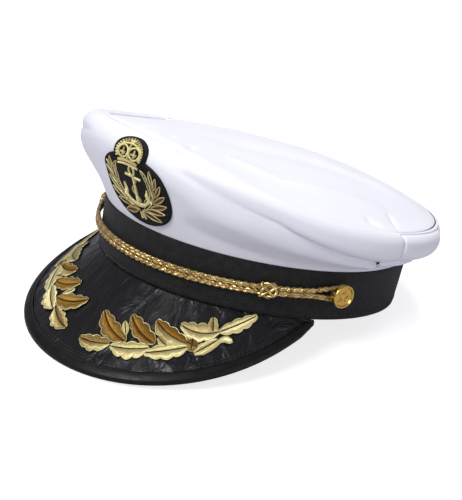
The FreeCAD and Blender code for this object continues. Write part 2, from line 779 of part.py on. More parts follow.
def make_button(name, side):
    angle = side * button_angle
    origin = band_point(angle, cord_pivot_height)
    axis = band_normal(angle)
    back = cord_loop_stand_off + cord_radius + button_gap
    front = back + button_thickness
    hole = shank_radius + shank_clearance
    rear = stiffener_far + eyelet_seat
    flange = eyelet_wall
    seat = eyelet_seat

    save("%s_button_eyelet" % name, revolved(
        ((hole, seat + flange), (eyelet_flange_radius, seat + flange), (eyelet_flange_radius, seat),
         (hole + flange, seat), (hole + flange, -rear), (eyelet_flange_radius, -rear),
         (eyelet_flange_radius, -rear - flange), (hole, -rear - flange)), origin, axis))

    washer_out = -rear - flange - layer_gap
    save("%s_button_washer" % name, revolved(
        ((shank_radius + layer_gap, washer_out), (washer_radius, washer_out),
         (washer_radius, washer_out - washer_thickness),
         (shank_radius + layer_gap, washer_out - washer_thickness)),
        origin, axis))

    pin_out = washer_out - washer_thickness - layer_gap / 2 - pin_radius
    tip = pin_out - pin_radius - layer_gap
    shank_end = back + button_wall
    shank = revolved(((0, tip), (shank_radius, tip), (shank_radius, shank_end), (0, shank_end)), origin, axis)
    cross = Vector(0, 0, 1)
    pin_start = origin + axis * pin_out - cross * (pin_length / 2)
    save("%s_button_shank" % name, shank.cut(Part.makeCylinder(pin_radius, pin_length, pin_start, cross)))
    save("%s_button_pin" % name, Part.makeCylinder(pin_radius, pin_length, pin_start, cross))

    save("%s_button_back" % name, revolved(
        ((shank_radius, back), (button_radius - button_wall - layer_gap, back),
         (button_radius - button_wall - layer_gap, back + button_wall), (shank_radius, back + button_wall)),
        origin, axis))

    face_out = front - button_wall * 1.6
    cup = revolved(
        ((0, face_out), (button_radius - button_rim - 0.5, face_out), (button_radius - button_rim, front),
         (button_radius - 0.35, front), (button_radius, front - 0.5), (button_radius, back),
         (button_radius - button_wall, back), (button_radius - button_wall, front - 1.1),
         (button_radius - button_rim - 0.6, face_out - button_wall), (0, face_out - button_wall)), origin, axis)
    star = star_outline(star_radius).cut(star_outline(star_radius - 2 * star_line))
    ridge = star.extrude(Vector(0, 0, star_height))
    ridge.Placement = FreeCAD.Placement(origin + axis * face_out, FreeCAD.Rotation(Vector(0, 0, 1), axis))
    save("%s_button_shell" % name, cup.fuse(ridge))


# ---------------------------------------------------------------- build

os.makedirs("parts", exist_ok=True)
cord_chain = build_chain()
make_band()
make_crown()
make_visor()
make_sprays()
make_badge()
make_cord()
make_button("left", 1)
make_button("right", -1)
print("cord pivot %s, tilt %.3f" % (tuple(round(v, 3) for v in pivot_centre), math.degrees(cord_tilt)))
loop_x, loop_f = loop_centre_flat()
print("loop centre", [round(v, 3) for v in in_plane(loop_x, loop_f)])
for first, last, centre, radius in cord_chain:
    print("cord arc %.1f to %.1f, radius %.2f" % (first, last, radius),
          "centre", [round(v, 3) for v in in_plane(*centre)])
print("plane up", [round(v, 5) for v in plane_up])
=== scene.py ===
import math

import bpy
import numpy as np
from mathutils import Matrix, Vector
from mathutils.bvhtree import BVHTree


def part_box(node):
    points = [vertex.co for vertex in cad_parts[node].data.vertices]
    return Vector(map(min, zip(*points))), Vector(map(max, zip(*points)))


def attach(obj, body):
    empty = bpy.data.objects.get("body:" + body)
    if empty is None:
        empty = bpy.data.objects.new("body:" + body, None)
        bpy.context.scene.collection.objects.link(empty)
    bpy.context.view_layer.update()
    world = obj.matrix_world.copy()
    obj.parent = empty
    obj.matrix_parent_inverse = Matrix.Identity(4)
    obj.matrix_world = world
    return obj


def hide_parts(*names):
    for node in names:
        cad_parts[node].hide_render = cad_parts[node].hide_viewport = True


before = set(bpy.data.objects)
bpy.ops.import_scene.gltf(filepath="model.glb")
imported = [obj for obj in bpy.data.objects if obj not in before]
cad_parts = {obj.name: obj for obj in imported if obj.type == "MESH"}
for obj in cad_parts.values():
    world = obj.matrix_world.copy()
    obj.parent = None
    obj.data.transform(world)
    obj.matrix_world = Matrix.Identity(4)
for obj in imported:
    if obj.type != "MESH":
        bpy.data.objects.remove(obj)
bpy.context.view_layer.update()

MM = 0.001                       # the cap is drawn in millimetres and made in metres


# ------------------------------------------------------------------ floor, light and camera
# The cap rests on the tip of its visor and on the back of its band, so the table
# under it is square to the line through those two. Three soft boxes light it.

def node(tree, kind, wires=None, **settings):
    """New node in a tree; wires gives its inputs, each a value or another node's output."""
    made = tree.nodes.new(kind if kind.startswith("GeometryNode") else "ShaderNode" + kind)
    for key, value in settings.items():
        setattr(made, key, value)
    for socket, value in (wires or {}).items():
        if isinstance(value, bpy.types.NodeSocket):
            tree.links.new(value, made.inputs[socket])
        else:
            made.inputs[socket].default_value = value
    return made


def maths(tree, operation, *values, kind="Math", **named):
    """Output of a math node that works on values and other nodes' outputs."""
    return node(tree, kind, {**dict(enumerate(values)), **named}, operation=operation).outputs[0]


def add_object(name, data):
    made = bpy.data.objects.new(name, data)
    bpy.context.scene.collection.objects.link(made)
    return made


def finish(name, color, rough, **values):
    """Material with one principled shader; returns the material, its tree and its shader."""
    material = bpy.data.materials.new(name)
    material.use_nodes = True
    shader = material.node_tree.nodes["Principled BSDF"]
    shader.inputs["Base Color"].default_value = (*color, 1)
    shader.inputs["Roughness"].default_value = rough
    for key, value in values.items():
        shader.inputs[key.replace("_", " ").title().replace("Ior", "IOR")].default_value = value
    return material, material.node_tree, shader


rest_front = Vector((0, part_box("visor_binding")[0].y + 0.002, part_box("visor_binding")[0].z))
rest_back = Vector((0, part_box("hat_band")[1].y, 0))
rest_line = (rest_back - rest_front).normalized()
rest_up = Vector((1, 0, 0)).cross(rest_line)
table_reach = 6.0
table_centre = (rest_front + rest_back) / 2 - rest_up * 0.0005
corners = [table_centre + Vector((x, 0, 0)) + rest_line * y
           for x, y in ((-table_reach, -table_reach), (table_reach, -table_reach),
                        (table_reach, table_reach), (-table_reach, table_reach))]
table_mesh = bpy.data.meshes.new("table")
table_mesh.from_pydata(corners, [], [(0, 1, 2, 3)])
table = add_object("table", table_mesh)
table_paint, table_tree, table_shader = finish("table_paint", (0.52, 0.52, 0.57), 0.9, specular_ior_level=0.0)
glance = node(table_tree, "LightPath")
glow = maths(table_tree, "MULTIPLY", glance.outputs["Is Camera Ray"], 0.78)
table_shader.inputs["Emission Color"].default_value = (1, 1, 1, 1)
table_tree.links.new(glow, table_shader.inputs["Emission Strength"])
table_mesh.materials.append(table_paint)

bpy.context.scene.view_settings.view_transform = "Standard"
world = bpy.data.worlds.new("studio")
bpy.context.scene.world = world
world.use_nodes = True
backdrop = world.node_tree.nodes["Background"]
backdrop.inputs["Color"].default_value = (0.90, 0.90, 1.0, 1)
backdrop.inputs["Strength"].default_value = 0.30
seen = node(world.node_tree, "Background", {"Color": (1, 1, 1, 1), "Strength": 1.0})
glance = node(world.node_tree, "LightPath")
either = node(world.node_tree, "MixShader", {0: glance.outputs["Is Camera Ray"],
                                                       1: backdrop.outputs[0], 2: seen.outputs[0]})
world.node_tree.links.new(either.outputs[0], world.node_tree.nodes["World Output"].inputs[0])


def soft_box(name, place, aim, width, height, power):
    lamp = bpy.data.lights.new(name, "AREA")
    lamp.shape = "RECTANGLE"
    lamp.size, lamp.size_y, lamp.energy = width, height, power
    holder = add_object(name, lamp)
    holder.location = place
    holder.rotation_euler = (Vector(aim) - Vector(place)).to_track_quat("-Z", "Y").to_euler()


soft_box("key_box", (0.25, -1.5, 0.95), (0, 0, 0.05), 0.6, 0.6, 19)
soft_box("side_box", (1.7, 0.1, 0.25), (0, 0, 0.04), 0.4, 0.9, 5)
soft_box("top_box", (-0.35, 0.1, 1.6), (0, 0, 0.05), 0.6, 0.6, 20)

view_turn, view_rise, view_roll = math.radians(39.9), math.radians(17.1), math.radians(15.3)
view_distance = 0.942
view_back = Vector((math.sin(view_turn) * math.cos(view_rise), -math.cos(view_turn) * math.cos(view_rise),
                    math.sin(view_rise)))
level = Vector((math.cos(view_turn), math.sin(view_turn), 0))
upright = level.cross(-view_back)
view_right = level * math.cos(view_roll) + upright * math.sin(view_roll)
view_up = upright * math.cos(view_roll) - level * math.sin(view_roll)
camera_data = bpy.data.cameras.new("camera")
camera_data.lens = 106.5
camera_data.sensor_width = 36
camera_data.shift_x, camera_data.shift_y = -0.033, 0.025
camera_data.clip_start = 0.05
camera = add_object("camera", camera_data)
camera.matrix_world = (Matrix.Translation(view_back * view_distance)
                       @ Matrix((view_right, view_up, view_back)).transposed().to_4x4())
bpy.context.scene.camera = camera


# ------------------------------------------------------------------ band
# A strip of black twill goes right round the head and is joined at the back. It is
# folded over a stiff strip and machine stitched a little above its lower edge.

band_half_width, band_half_length, band_egg, band_height = 87.7, 104.0, 0.05, 31.0
band_flare_side, band_flare_end, band_lean = 1.75, 0.8, 2.4
band_thickness = 1.2


def band_normal(angle):
    turn = np.radians(angle)
    dx = band_half_width * (np.cos(turn) * (1 - band_egg * np.cos(turn)) + band_egg * np.sin(turn) ** 2)
    dy = band_half_length * np.sin(turn)
    length = np.hypot(dx, dy)
    return np.stack([dy / length, -dx / length, np.zeros_like(dx)], -1)


def band_point(angle, height, out=0.0):
    """Points outside the band's face; 0 degrees is the front and 90 the wearer's left."""
    angle, height, out = np.broadcast_arrays(*(np.asarray(v, float) for v in (angle, height, out)))
    share = height / band_height
    turn = np.radians(angle)
    wide = band_half_width + band_flare_side * share
    long = band_half_length + band_flare_end * share
    x = wide * np.sin(turn) * (1 - band_egg * np.cos(turn))
    y = -long * np.cos(turn) - band_lean * share
    return np.stack([x, y, height], -1) + band_normal(angle) * out[..., None]


def unit(vectors):
    return vectors / np.maximum(np.linalg.norm(vectors, axis=-1, keepdims=True), 1e-12)


def distances(path):
    """How far along a line of points each of them is."""
    return np.concatenate([[0], np.cumsum(np.linalg.norm(np.diff(path, axis=0), axis=1))])


def grid_normals(grid, ring):
    if ring:
        along = np.roll(grid, -1, 0) - np.roll(grid, 1, 0)
    else:
        along = np.gradient(grid, axis=0)
    return unit(np.cross(along, np.gradient(grid, axis=1)))


def panel(name, outer, depth, material, ring=False):
    """Closed cloth sheet: a grid seen from outside, its copy a depth below, and a rounded rim."""
    rows, columns = outer.shape[:2]
    inner = outer - grid_normals(outer, ring) * depth
    index = np.arange(rows * columns).reshape(rows, columns)
    run = np.linalg.norm(np.roll(outer, -1, 0) - outer, axis=2).mean(1)
    u = np.concatenate([[0], np.cumsum(run)])
    v = np.concatenate([[0], np.cumsum(np.linalg.norm(np.diff(outer, axis=1), axis=2).mean(0))])
    points = [outer.reshape(-1, 3), inner.reshape(-1, 3)]
    faces, flat = [], []
    for i in range(rows if ring else rows - 1):
        after = (i + 1) % rows
        for j in range(columns - 1):
            quad = (index[i, j], index[after, j], index[after, j + 1], index[i, j + 1])
            spots = ((u[i], v[j]), (u[i + 1], v[j]), (u[i + 1], v[j + 1]), (u[i], v[j + 1]))
            faces += [quad, tuple(k + rows * columns for k in reversed(quad))]
            flat += [spots, spots[::-1]]
    if ring:
        loops = [[(i, 0, 1) for i in range(rows)],
                 [(i, columns - 1, columns - 2) for i in reversed(range(rows))]]
        loops = [[((i, j), (i, k)) for i, j, k in loop] for loop in loops]
    else:
        loops = [[((i, 0), (i, 1)) for i in range(rows - 1)]
                 + [((rows - 1, j), (rows - 2, j)) for j in range(columns - 1)]
                 + [((i, columns - 1), (i, columns - 2)) for i in range(rows - 1, 0, -1)]
                 + [((0, j), (1, j)) for j in range(columns - 1, 0, -1)]]
    for loop in loops:
        at = sum(len(p) for p in points)
        edge = np.array([outer[a] for a, _ in loop])
        inward = np.array([outer[b] for _, b in loop])
        under = np.array([inner[a] for a, _ in loop])
        points.append((edge + under) / 2 + unit(edge - inward) * depth * 0.4)
        for k, (a, _) in enumerate(loop):
            b = loop[(k + 1) % len(loop)][0]
            one, two = index[a], index[b]
            mid_one, mid_two = at + k, at + (k + 1) % len(loop)
            faces += [(two, one, mid_one, mid_two),
                      (mid_two, mid_one, one + rows * columns, two + rows * columns)]
            spot_one, spot_two = (u[a[0]], v[a[1]]), (u[b[0]], v[b[1]])
            if ring and b[0] == 0 and a[0] == rows - 1:
                spot_two = (u[rows], v[b[1]])
            if ring and a[0] == 0 and b[0] == rows - 1:
                spot_one = (u[rows], v[a[1]])
            flat += [(spot_two, spot_one, spot_one, spot_two)] * 2
    mesh = bpy.data.meshes.new(name)
    mesh.from_pydata(np.concatenate(points) * MM, [], [tuple(int(k) for k in face) for face in faces])
    layer = mesh.uv_layers.new(name="cloth")
    layer.data.foreach_set("uv", np.array(flat, np.float32).ravel())
    mesh.materials.append(material)
    mesh.shade_smooth()
    return add_object(name, mesh)


def fit(piece, body, slot, *nodes):
    """The piece rides on a body and stands for these nodes; the slot is not used."""
    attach(piece, body)
    if nodes:
        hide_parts(*nodes)


def new_tree(kind, name, inputs, outputs):
    """Node group with its sockets; returns the tree, what it is given and what it gives."""
    tree = bpy.data.node_groups.new(name, kind + "NodeTree")
    for way, sockets in (("INPUT", inputs), ("OUTPUT", outputs)):
        for label, sort, *value in sockets:
            socket = tree.interface.new_socket(label, in_out=way, socket_type="NodeSocket" + sort)
            if value:
                socket.default_value = value[0]
    return tree, tree.nodes.new("NodeGroupInput").outputs, tree.nodes.new("NodeGroupOutput").inputs


# Weave: ribs that run slantwise (twill) or yarns that cross (plain), with slubs and uneven dye
weave, weave_in, weave_out = new_tree(
    "Shader", "weave", [("Place", "Vector"), ("Yarns per mm", "Float", 2.0), ("Slant", "Float", 1.0),
                        ("Slub", "Float", 0.3)], [("Height", "Float"), ("Shade", "Float")])
scaled = maths(weave, "SCALE", weave_in["Place"], kind="VectorMath", Scale=weave_in["Yarns per mm"])
uneven = node(weave, "TexNoise", {"Vector": scaled, "Scale": 0.35, "Detail": 4.0})
wander = maths(weave, "SCALE", uneven.outputs["Color"], kind="VectorMath", Scale=weave_in["Slub"])
place = maths(weave, "ADD", scaled, wander, kind="VectorMath")
axes = node(weave, "SeparateXYZ", {0: place}).outputs
rib = maths(weave, "SINE", maths(weave, "MULTIPLY", maths(weave, "ADD", axes[0], axes[1]), math.pi))
rib_high = maths(weave, "POWER", maths(weave, "ABSOLUTE", rib), 2.5)
waves = [maths(weave, "SINE", maths(weave, "MULTIPLY", axes[k], math.pi)) for k in (0, 1)]
cross_high = maths(weave, "MULTIPLY_ADD", maths(weave, "MULTIPLY", *waves), 0.5, 0.5)
yarn = node(weave, "Mix", {0: weave_in["Slant"], 2: cross_high, 3: rib_high}).outputs[0]
weave.links.new(yarn, weave_out["Height"])
weave.links.new(maths(weave, "MULTIPLY", yarn, uneven.outputs[0]), weave_out["Shade"])


def cloth_finish(name, low, high, rough, yarns, slant, bump, slub=0.3, **values):
    """Woven cloth that goes from one colour in its furrows to another on its yarns."""
    material, tree, shader = finish(name, high, rough, **values)
    place = node(tree, "UVMap", uv_map="cloth")
    yarn = node(tree, "Group", node_tree=weave)
    tree.links.new(place.outputs[0], yarn.inputs["Place"])
    for label, value in (("Yarns per mm", yarns), ("Slant", slant), ("Slub", slub)):
        yarn.inputs[label].default_value = value
    ramp = node(tree, "Mix", {0: yarn.outputs["Shade"], 6: (*low, 1), 7: (*high, 1)}, data_type="RGBA")
    tree.links.new(ramp.outputs[2], shader.inputs["Base Color"])
    relief = node(tree, "Bump", {"Height": yarn.outputs["Height"], "Strength": bump, "Distance": 0.0002})
    tree.links.new(relief.outputs[0], shader.inputs["Normal"])
    return material, tree, shader


band_cloth, _, _ = cloth_finish("band_cloth", (0.0002, 0.0002, 0.0002), (0.052, 0.052, 0.052), 0.7, 0.62, 1.0, 1.0,
                                specular_ior_level=0.22, sheen_weight=0.04, sheen_roughness=0.4)
band_angles = np.linspace(-180, 180, 361)[:-1]
band_heights = np.linspace(0, band_height, 17)
band_grid = band_point(band_angles[:, None], band_heights[None, :])
hat_band = panel("band_strip", band_grid, band_thickness, band_cloth, ring=True)
fit(hat_band, "cap", "band_cloth", "hat_band")

# Stitches: short threads laid end to end along a path, each sunk at both ends
stitch_tree, given, gives = new_tree(
    "Geometry", "stitch_row", [("Geometry", "Geometry"), ("Pitch", "Float", 0.003), ("Length", "Float", 0.0022),
                               ("Thread radius", "Float", 0.0002), ("Thread", "Material")],
    [("Geometry", "Geometry")])
line = node(stitch_tree, "GeometryNodeMeshToCurve", {0: given["Geometry"]})
spots = node(stitch_tree, "GeometryNodeCurveToPoints", {"Curve": line.outputs[0], "Length": given["Pitch"]},
             mode="LENGTH").outputs
bead = node(stitch_tree, "GeometryNodeMeshUVSphere", {"Segments": 6, "Rings": 5, "Radius": 0.5})
double = maths(stitch_tree, "MULTIPLY", given["Thread radius"], 2.0)
size = node(stitch_tree, "CombineXYZ", {0: double, 1: double, 2: given["Length"]})
laid = node(stitch_tree, "GeometryNodeInstanceOnPoints",
            {"Points": spots["Points"], "Instance": bead.outputs["Mesh"], "Rotation": spots["Rotation"],
             "Scale": size.outputs[0]})


def hand_out(tree, made, thread, gives):
    """Last steps of a tree: real geometry, shaded smooth, in one material."""
    real = node(tree, "GeometryNodeRealizeInstances", {0: made.outputs[0]})
    smooth = node(tree, "GeometryNodeSetShadeSmooth", {0: real.outputs[0]})
    dyed = node(tree, "GeometryNodeSetMaterial", {"Geometry": smooth.outputs[0], "Material": thread})
    tree.links.new(dyed.outputs[0], gives[0])


hand_out(stitch_tree, laid, given["Thread"], gives)


def path_object(name, paths, **attributes):
    """Mesh of open lines, one for each list of points, for a node tree to work on."""
    mesh = bpy.data.meshes.new(name)
    edges, at = [], 0
    for path in paths:
        edges += [(at + k, at + k + 1) for k in range(len(path) - 1)]
        at += len(path)
    mesh.from_pydata(np.concatenate(paths) * MM, edges, [])
    for label, values in attributes.items():
        values = np.asarray(values, np.float32)
        kind = "FLOAT_VECTOR" if values.ndim == 2 else "FLOAT"
        layer = mesh.attributes.new(label, kind, "POINT")
        layer.data.foreach_set("vector" if values.ndim == 2 else "value", values.ravel())
    return add_object(name, mesh)


def grow(piece, tree, **values):
    """Run a node tree on a piece and keep what it makes as the piece's plain mesh."""
    modifier = piece.modifiers.new("tree", "NODES")
    modifier.node_group = tree
    sockets = {item.name: item.identifier for item in tree.interface.items_tree
               if item.item_type == "SOCKET" and item.in_out == "INPUT"}
    for label, value in values.items():
        modifier[sockets[label.replace("_", " ").capitalize()]] = value
    graph = bpy.context.evaluated_depsgraph_get()
    made = bpy.data.meshes.new_from_object(piece.evaluated_get(graph))
    piece.modifiers.clear()
    piece.data = made
    return piece


# Grain: the fine unevenness of thread, sheet, felt, brass, leather and board
grain_tree, given, gives = new_tree("Shader", "grain", [("Scale", "Float", 900.0), ("Detail", "Float", 2.0)],
                                    [("Grain", "Float")])
here = node(grain_tree, "TexCoord").outputs["Object"]
speckle = node(grain_tree, "TexNoise", {"Vector": here, "Scale": given["Scale"], "Detail": given["Detail"]})
grain_tree.links.new(speckle.outputs[0], gives["Grain"])


def grain_output(tree, scale, detail):
    """The grain, placed in a material's tree with a scale and detail of its own."""
    placed = node(tree, "Group", node_tree=grain_tree)
    placed.inputs["Scale"].default_value, placed.inputs["Detail"].default_value = scale, detail
    return placed.outputs["Grain"]


def grained(name, color, rough, scale, detail=2.0, tint=None, roughness=None, bump=None, **values):
    """Material whose colour, roughness and relief follow one fine noise through the piece."""
    material, tree, shader = finish(name, color, rough, **values)
    grain = grain_output(tree, scale, detail)
    if tint:
        mixed = node(tree, "Mix", {0: grain, 6: (*tint[0], 1), 7: (*tint[1], 1)}, data_type="RGBA")
        tree.links.new(mixed.outputs[2], shader.inputs["Base Color"])
    if roughness:
        ranged = node(tree, "MapRange", {0: grain, **dict(enumerate(roughness, 1))})
        tree.links.new(ranged.outputs[0], shader.inputs["Roughness"])
    if bump:
        relief = node(tree, "Bump", {"Height": grain, "Strength": bump[0], "Distance": bump[1]})
        tree.links.new(relief.outputs[0], shader.inputs["Normal"])
    return material


def thread_finish(name, color, rough, **values):
    """Twisted sewing thread: a fine grain and a little unevenness in the dye."""
    tint = [c * 0.6 for c in color], [min(c * 1.25, 1) for c in color]
    return grained(name, color, rough, 2500.0, tint=tint, bump=(0.4, 0.0001), **values)


black_thread = thread_finish("black_thread", (0.012, 0.012, 0.013), 0.5)
edge_angles = np.append(band_angles, 180)
band_stitches = path_object("band_stitches", [band_point(edge_angles, 2.6, 0.1)])
grow(band_stitches, stitch_tree, pitch=0.0028, length=0.0023, thread_radius=0.00022, thread=black_thread)
fit(band_stitches, "cap", "band_cloth")


# ------------------------------------------------------------------ crown
# Three panels of white satin cotton: a front one held up by a stay, a back one and the
# top, sewn together inside out, so each seam is a soft roll with a stitched welt beside it.

cloth_thickness, seam_gap = 0.9, 0.3
crown_rises = ((0.5, 0.5, 1.7), (19.0, 11.0, -6.5), (31.0, 16.0, -1.0), (42.0, 22.5, 9.0),
               (51.0, 28.0, 18.5), (55.1, 30.5, 22.8))
crown_growths = ((0.0, 0.0, 0.8), (12.0, 6.5, 7.2), (18.5, 14.0, 11.5), (23.0, 19.0, 14.0),
                 (18.5, 17.5, 13.5), (7.0, 12.0, 11.0))
crown_peak_share, crown_dome, side_seam_angle = 0.45, 11.0, 92.0


def around(angle, values, peak=0.0):
    front, side, back = values
    forward = np.cos(np.radians(angle))
    tilt = (front - back) / 2 * ((1 - peak) * forward + peak * forward ** 3)
    return side + ((front + back) / 2 - side) * forward ** 2 + tilt


def spline(knots, values, at):
    """Natural cubic through values (the second index) at knots, one curve for each row."""
    step = np.diff(knots)
    count = len(knots)
    system = np.zeros((count, count))
    right = np.zeros(values.shape)
    system[0, 0] = system[-1, -1] = 1
    slope = np.diff(values, axis=1) / step[None, :, None]
    for k in range(1, count - 1):
        system[k, k - 1:k + 2] = step[k - 1], 2 * (step[k - 1] + step[k]), step[k]
        right[:, k] = 6 * (slope[:, k] - slope[:, k - 1])
    bend = np.einsum("kl,rlc->rkc", np.linalg.inv(system), right)
    k = np.clip(np.searchsorted(knots, at, side="right") - 1, 0, count - 2)
    h, t = step[k][None, :, None], (at - knots[k])[None, :, None]
    a, b = bend[:, k], bend[:, k + 1]
    return (values[:, k] + t * (slope[:, k] - h * (2 * a + b) / 6) + a * t ** 2 / 2 + (b - a) * t ** 3 / (6 * h))


def wall_points(angles, shares):
    """Side wall of the crown without folds, at angles and at shares of the way up to the top seam."""
    control = []
    for rise, growth in zip(crown_rises, crown_growths):
        point = band_point(angles, band_height, around(angles, growth))
        point[:, 2] = band_height + around(angles, rise, crown_peak_share)
        control.append(point)
    control = np.stack(control, 1)
    reach = np.linalg.norm(np.diff(control, axis=1), axis=2).mean(0)
    knots = np.concatenate([[0], np.cumsum(reach)]) / reach.sum()
    return spline(knots, control, np.asarray(shares))


def bump_line(x, y, start, end, width, height, cusp=False):
    """Height of one fold along a line between two points, fading out at both ends."""
    run = np.array(end, float) - np.array(start, float)
    length = np.hypot(*run)
    along = ((x - start[0]) * run[0] + (y - start[1]) * run[1]) / length
    aside = ((x - start[0]) * run[1] - (y - start[1]) * run[0]) / length
    share = np.clip(along / length, -0.2, 1.2)
    fade = np.clip(1.2 - (2 * share - 1) ** 2, 0, 1)
    shape = np.exp(-np.abs(aside) / width) if cusp else np.exp(-(aside / width) ** 2)
    return height * fade * shape * np.exp(-(np.maximum(0, np.maximum(-along, along - length)) / width) ** 2)


# Folds of the wall, in mm round the cap and mm up it: start, end, width, height
wall_folds = (
    ((34, 12), (100, 4), 4.0, -0.8),
    ((40, 22), (80, 28), 6.0, 0.9),
    ((-80, 28), (-40, 22), 6.0, 0.9),
    ((-110, 4), (-40, 10), 4.0, -0.8),
    ((-14, 38), (-11, 47), 2.0, -1.0),
    ((-26, 37), (-24, 46), 2.5, 0.9),
    ((6, 40), (9, 47), 1.8, -0.9),
    ((24, 38), (28, 47), 2.0, -1.0),
    ((36, 38), (42, 46), 2.4, 0.8),
    ((176, 8), (172, 20), 3.0, 1.0),
    ((-176, 10), (-164, 22), 3.0, -1.4),
    ((270, 8), (290, 22), 6.0, -1.2),
    ((-300, 8), (-285, 22), 6.0, -1.2),
)
# Creases where the upper part of the wall hangs over the lower: mm round and mm up at points
# along each, then how far it hangs over at those points
overhangs = (
    ((24, 45, 66, 87, 98, 112, 126, 154, 185, 215), (37, 36, 34, 32.5, 29.5, 26, 22, 14, 12.5, 12),
     (0, 2.4, 4.2, 5.0, 5.2, 5.2, 5.0, 4.4, 3.6, 2.4)),
    ((-215, -185, -150, -115, -85, -50, -24), (12, 13, 16, 27, 32, 34, 35), (2.4, 4.0, 4.8, 4.8, 3.8, 2.0, 0)),
)


def overhang(round_mm, up_mm):
    lift = 0.0
    for where, crease, reach in overhangs:
        inside = np.clip((round_mm - where[0]) / 8, 0, 1) * np.clip((where[-1] - round_mm) / 8, 0, 1)
        height = np.interp(round_mm, where, reach) * inside
        level = np.interp(round_mm, where, crease)
        above = up_mm - level
        hang = np.maximum(above, 0) / (0.42 * (up_mm[0, -1] - level))
        tuck = np.exp(np.minimum(above, 0) / 2.2)
        belly = 0.85 * np.sin(math.pi * np.clip(up_mm / level, 0, 1) ** 1.7) ** 1.2
        lift = lift + height * np.where(above > 0, hang * np.exp(1 - hang) - 0.2, belly - 0.2 * tuck)
    return lift


def ripple(x, y, seed, size):
    """Smooth unevenness made of a few crossing waves."""
    total = np.zeros(np.broadcast(x, y).shape)
    draw = np.random.default_rng(seed)
    for _ in range(7):
        turn, phase, stretch = draw.uniform(0, math.tau), draw.uniform(0, math.tau), draw.uniform(0.6, 1.7)
        total += np.sin((x * math.cos(turn) + y * math.sin(turn)) / size * stretch + phase)
    return total / 7


def wall_grid(angles, shares):
    """Side wall with its folds and the turned-in edges at the seams."""
    smooth = wall_points(angles, shares)
    normal = grid_normals(smooth, False)
    round_mm = np.radians(angles)[:, None] * 100
    whole = wall_points(np.linspace(-180, 180, 361), shares)
    up_mm = np.concatenate([[0], np.cumsum(np.linalg.norm(np.diff(whole, axis=1), axis=2).mean(0))])[None, :]
    lift = 0.55 * ripple(round_mm, up_mm * 1.6, 3, 17.0) * np.ones_like(smooth[..., 0])
    for fold in wall_folds:
        lift = lift + bump_line(round_mm, up_mm, *fold)
    lift = lift + overhang(round_mm, up_mm)
    top = up_mm[0, -1]
    held = np.clip(up_mm / 6, 0, 1) * np.clip((top - up_mm) / 5, 0, 1)
    stiff = 0.25 + 0.75 * np.clip((np.abs(round_mm) - 25) / 20, 0, 1)
    lift = lift * held * stiff
    lift = lift + 0.55 * np.exp(-((top - 1.6 - up_mm) / 0.8) ** 2) - 0.45 * np.exp(-((top - 3.4 - up_mm) / 0.5) ** 2)
    side = (np.abs(np.abs(angles) - side_seam_angle) / 180 * math.pi * 100)[:, None]
    pucker = 0.25 * np.sin(up_mm / 1.5) * np.exp(-side / 4.0) * held
    lift = lift - 0.8 * np.exp(-side / 1.1) * np.clip(up_mm / 3, 0, 1) + pucker
    return smooth + normal * lift[..., None]


crown_cloth, _, _ = cloth_finish("crown_cloth", (0.74, 0.745, 0.80), (0.83, 0.83, 0.88), 0.5, 2.6, 0.7, 0.10,
                                 slub=0.5, specular_ior_level=0.35, sheen_weight=0.12, sheen_roughness=0.5)
panel_gap = math.degrees(seam_gap / band_half_length)
wall_shares = np.linspace(0, 1, 71)
front_angles = np.linspace(-side_seam_angle, side_seam_angle, 341)
back_angles = np.linspace(side_seam_angle + panel_gap, 360 - side_seam_angle - panel_gap, 201)
crown_front = panel("crown_front_cloth", wall_grid(front_angles, wall_shares), cloth_thickness, crown_cloth)
back_lift = wall_grid(np.where(back_angles > 180, back_angles - 360, back_angles), wall_shares)
crown_back = panel("crown_back_cloth", back_lift, cloth_thickness, crown_cloth)
fit(crown_front, "cap", "crown_cloth", "crown_front_panel")
fit(crown_back, "cap", "crown_cloth", "crown_back_panel")


def seam_points(angles, inset):
    point = band_point(angles, band_height, around(angles, crown_growths[-1]) - inset)
    point[..., 2] = band_height + around(angles, crown_rises[-1], crown_peak_share)
    return point


# Folds of the top panel, in mm to the wearer's left and mm back; True makes a sharp one
top_folds = (
    ((26, -74), (50, -50), 7.0, 1.3),
    ((50, -54), (76, 20), 7.0, 1.7),
    ((42, -60), (60, -16), 1.6, -0.8, True),
    ((80, 19), (101, 6), 1.8, -1.5, True),
    ((88, -13), (98, -6), 3.0, -1.8),
    ((-10, -60), (34, 50), 12.0, -2.2),
    ((-60, -50), (-40, 60), 12.0, -1.8),
    ((10, 20), (66, 72), 9.0, 1.8),
    ((6, -112), (3, -94), 2.4, -1.0),
    ((24, -108), (17, -92), 2.4, -1.1),
    ((-20, -110), (-14, -94), 2.6, -1.0),
    ((-88, 30), (-60, 60), 6.0, -1.6),
)


def top_grid(inset, count):
    """Top panel: a square of cloth drawn out to the oval of the top seam."""
    spread = np.linspace(-1, 1, count)
    u, v = np.meshgrid(spread, spread, indexing="ij")
    across, along = u * np.sqrt(1 - v * v / 2), v * np.sqrt(1 - u * u / 2)
    reach = np.hypot(across, along)
    rim = seam_points(np.degrees(np.arctan2(across, -along)), inset)
    ends = seam_points(np.array([0.0, 180.0]), 0)[:, 1]
    centre_y = ends.mean()
    front, side, back = crown_rises[-1]
    forward = -along
    middle = (front + back) / 2
    tilt = (front - back) / 2 * ((1 - crown_peak_share) * forward + crown_peak_share * forward ** 3)
    rise = (side + middle) / 2 + (middle - side) / 2 * (forward ** 2 - across ** 2) + tilt
    x, y = rim[..., 0] * reach, centre_y + (rim[..., 1] - centre_y) * reach
    lift = 1.1 * ripple(x, y, 8, 24.0)
    for fold in top_folds:
        lift = lift + bump_line(x, y, *fold)
    to_seam = (1 - reach) * 95
    lift = lift * np.clip(to_seam / 9, 0, 1) - 0.5 * np.exp(-to_seam / 0.9)
    return np.stack([x, y, band_height + rise + crown_dome * (1 - reach * reach) + lift], -1)


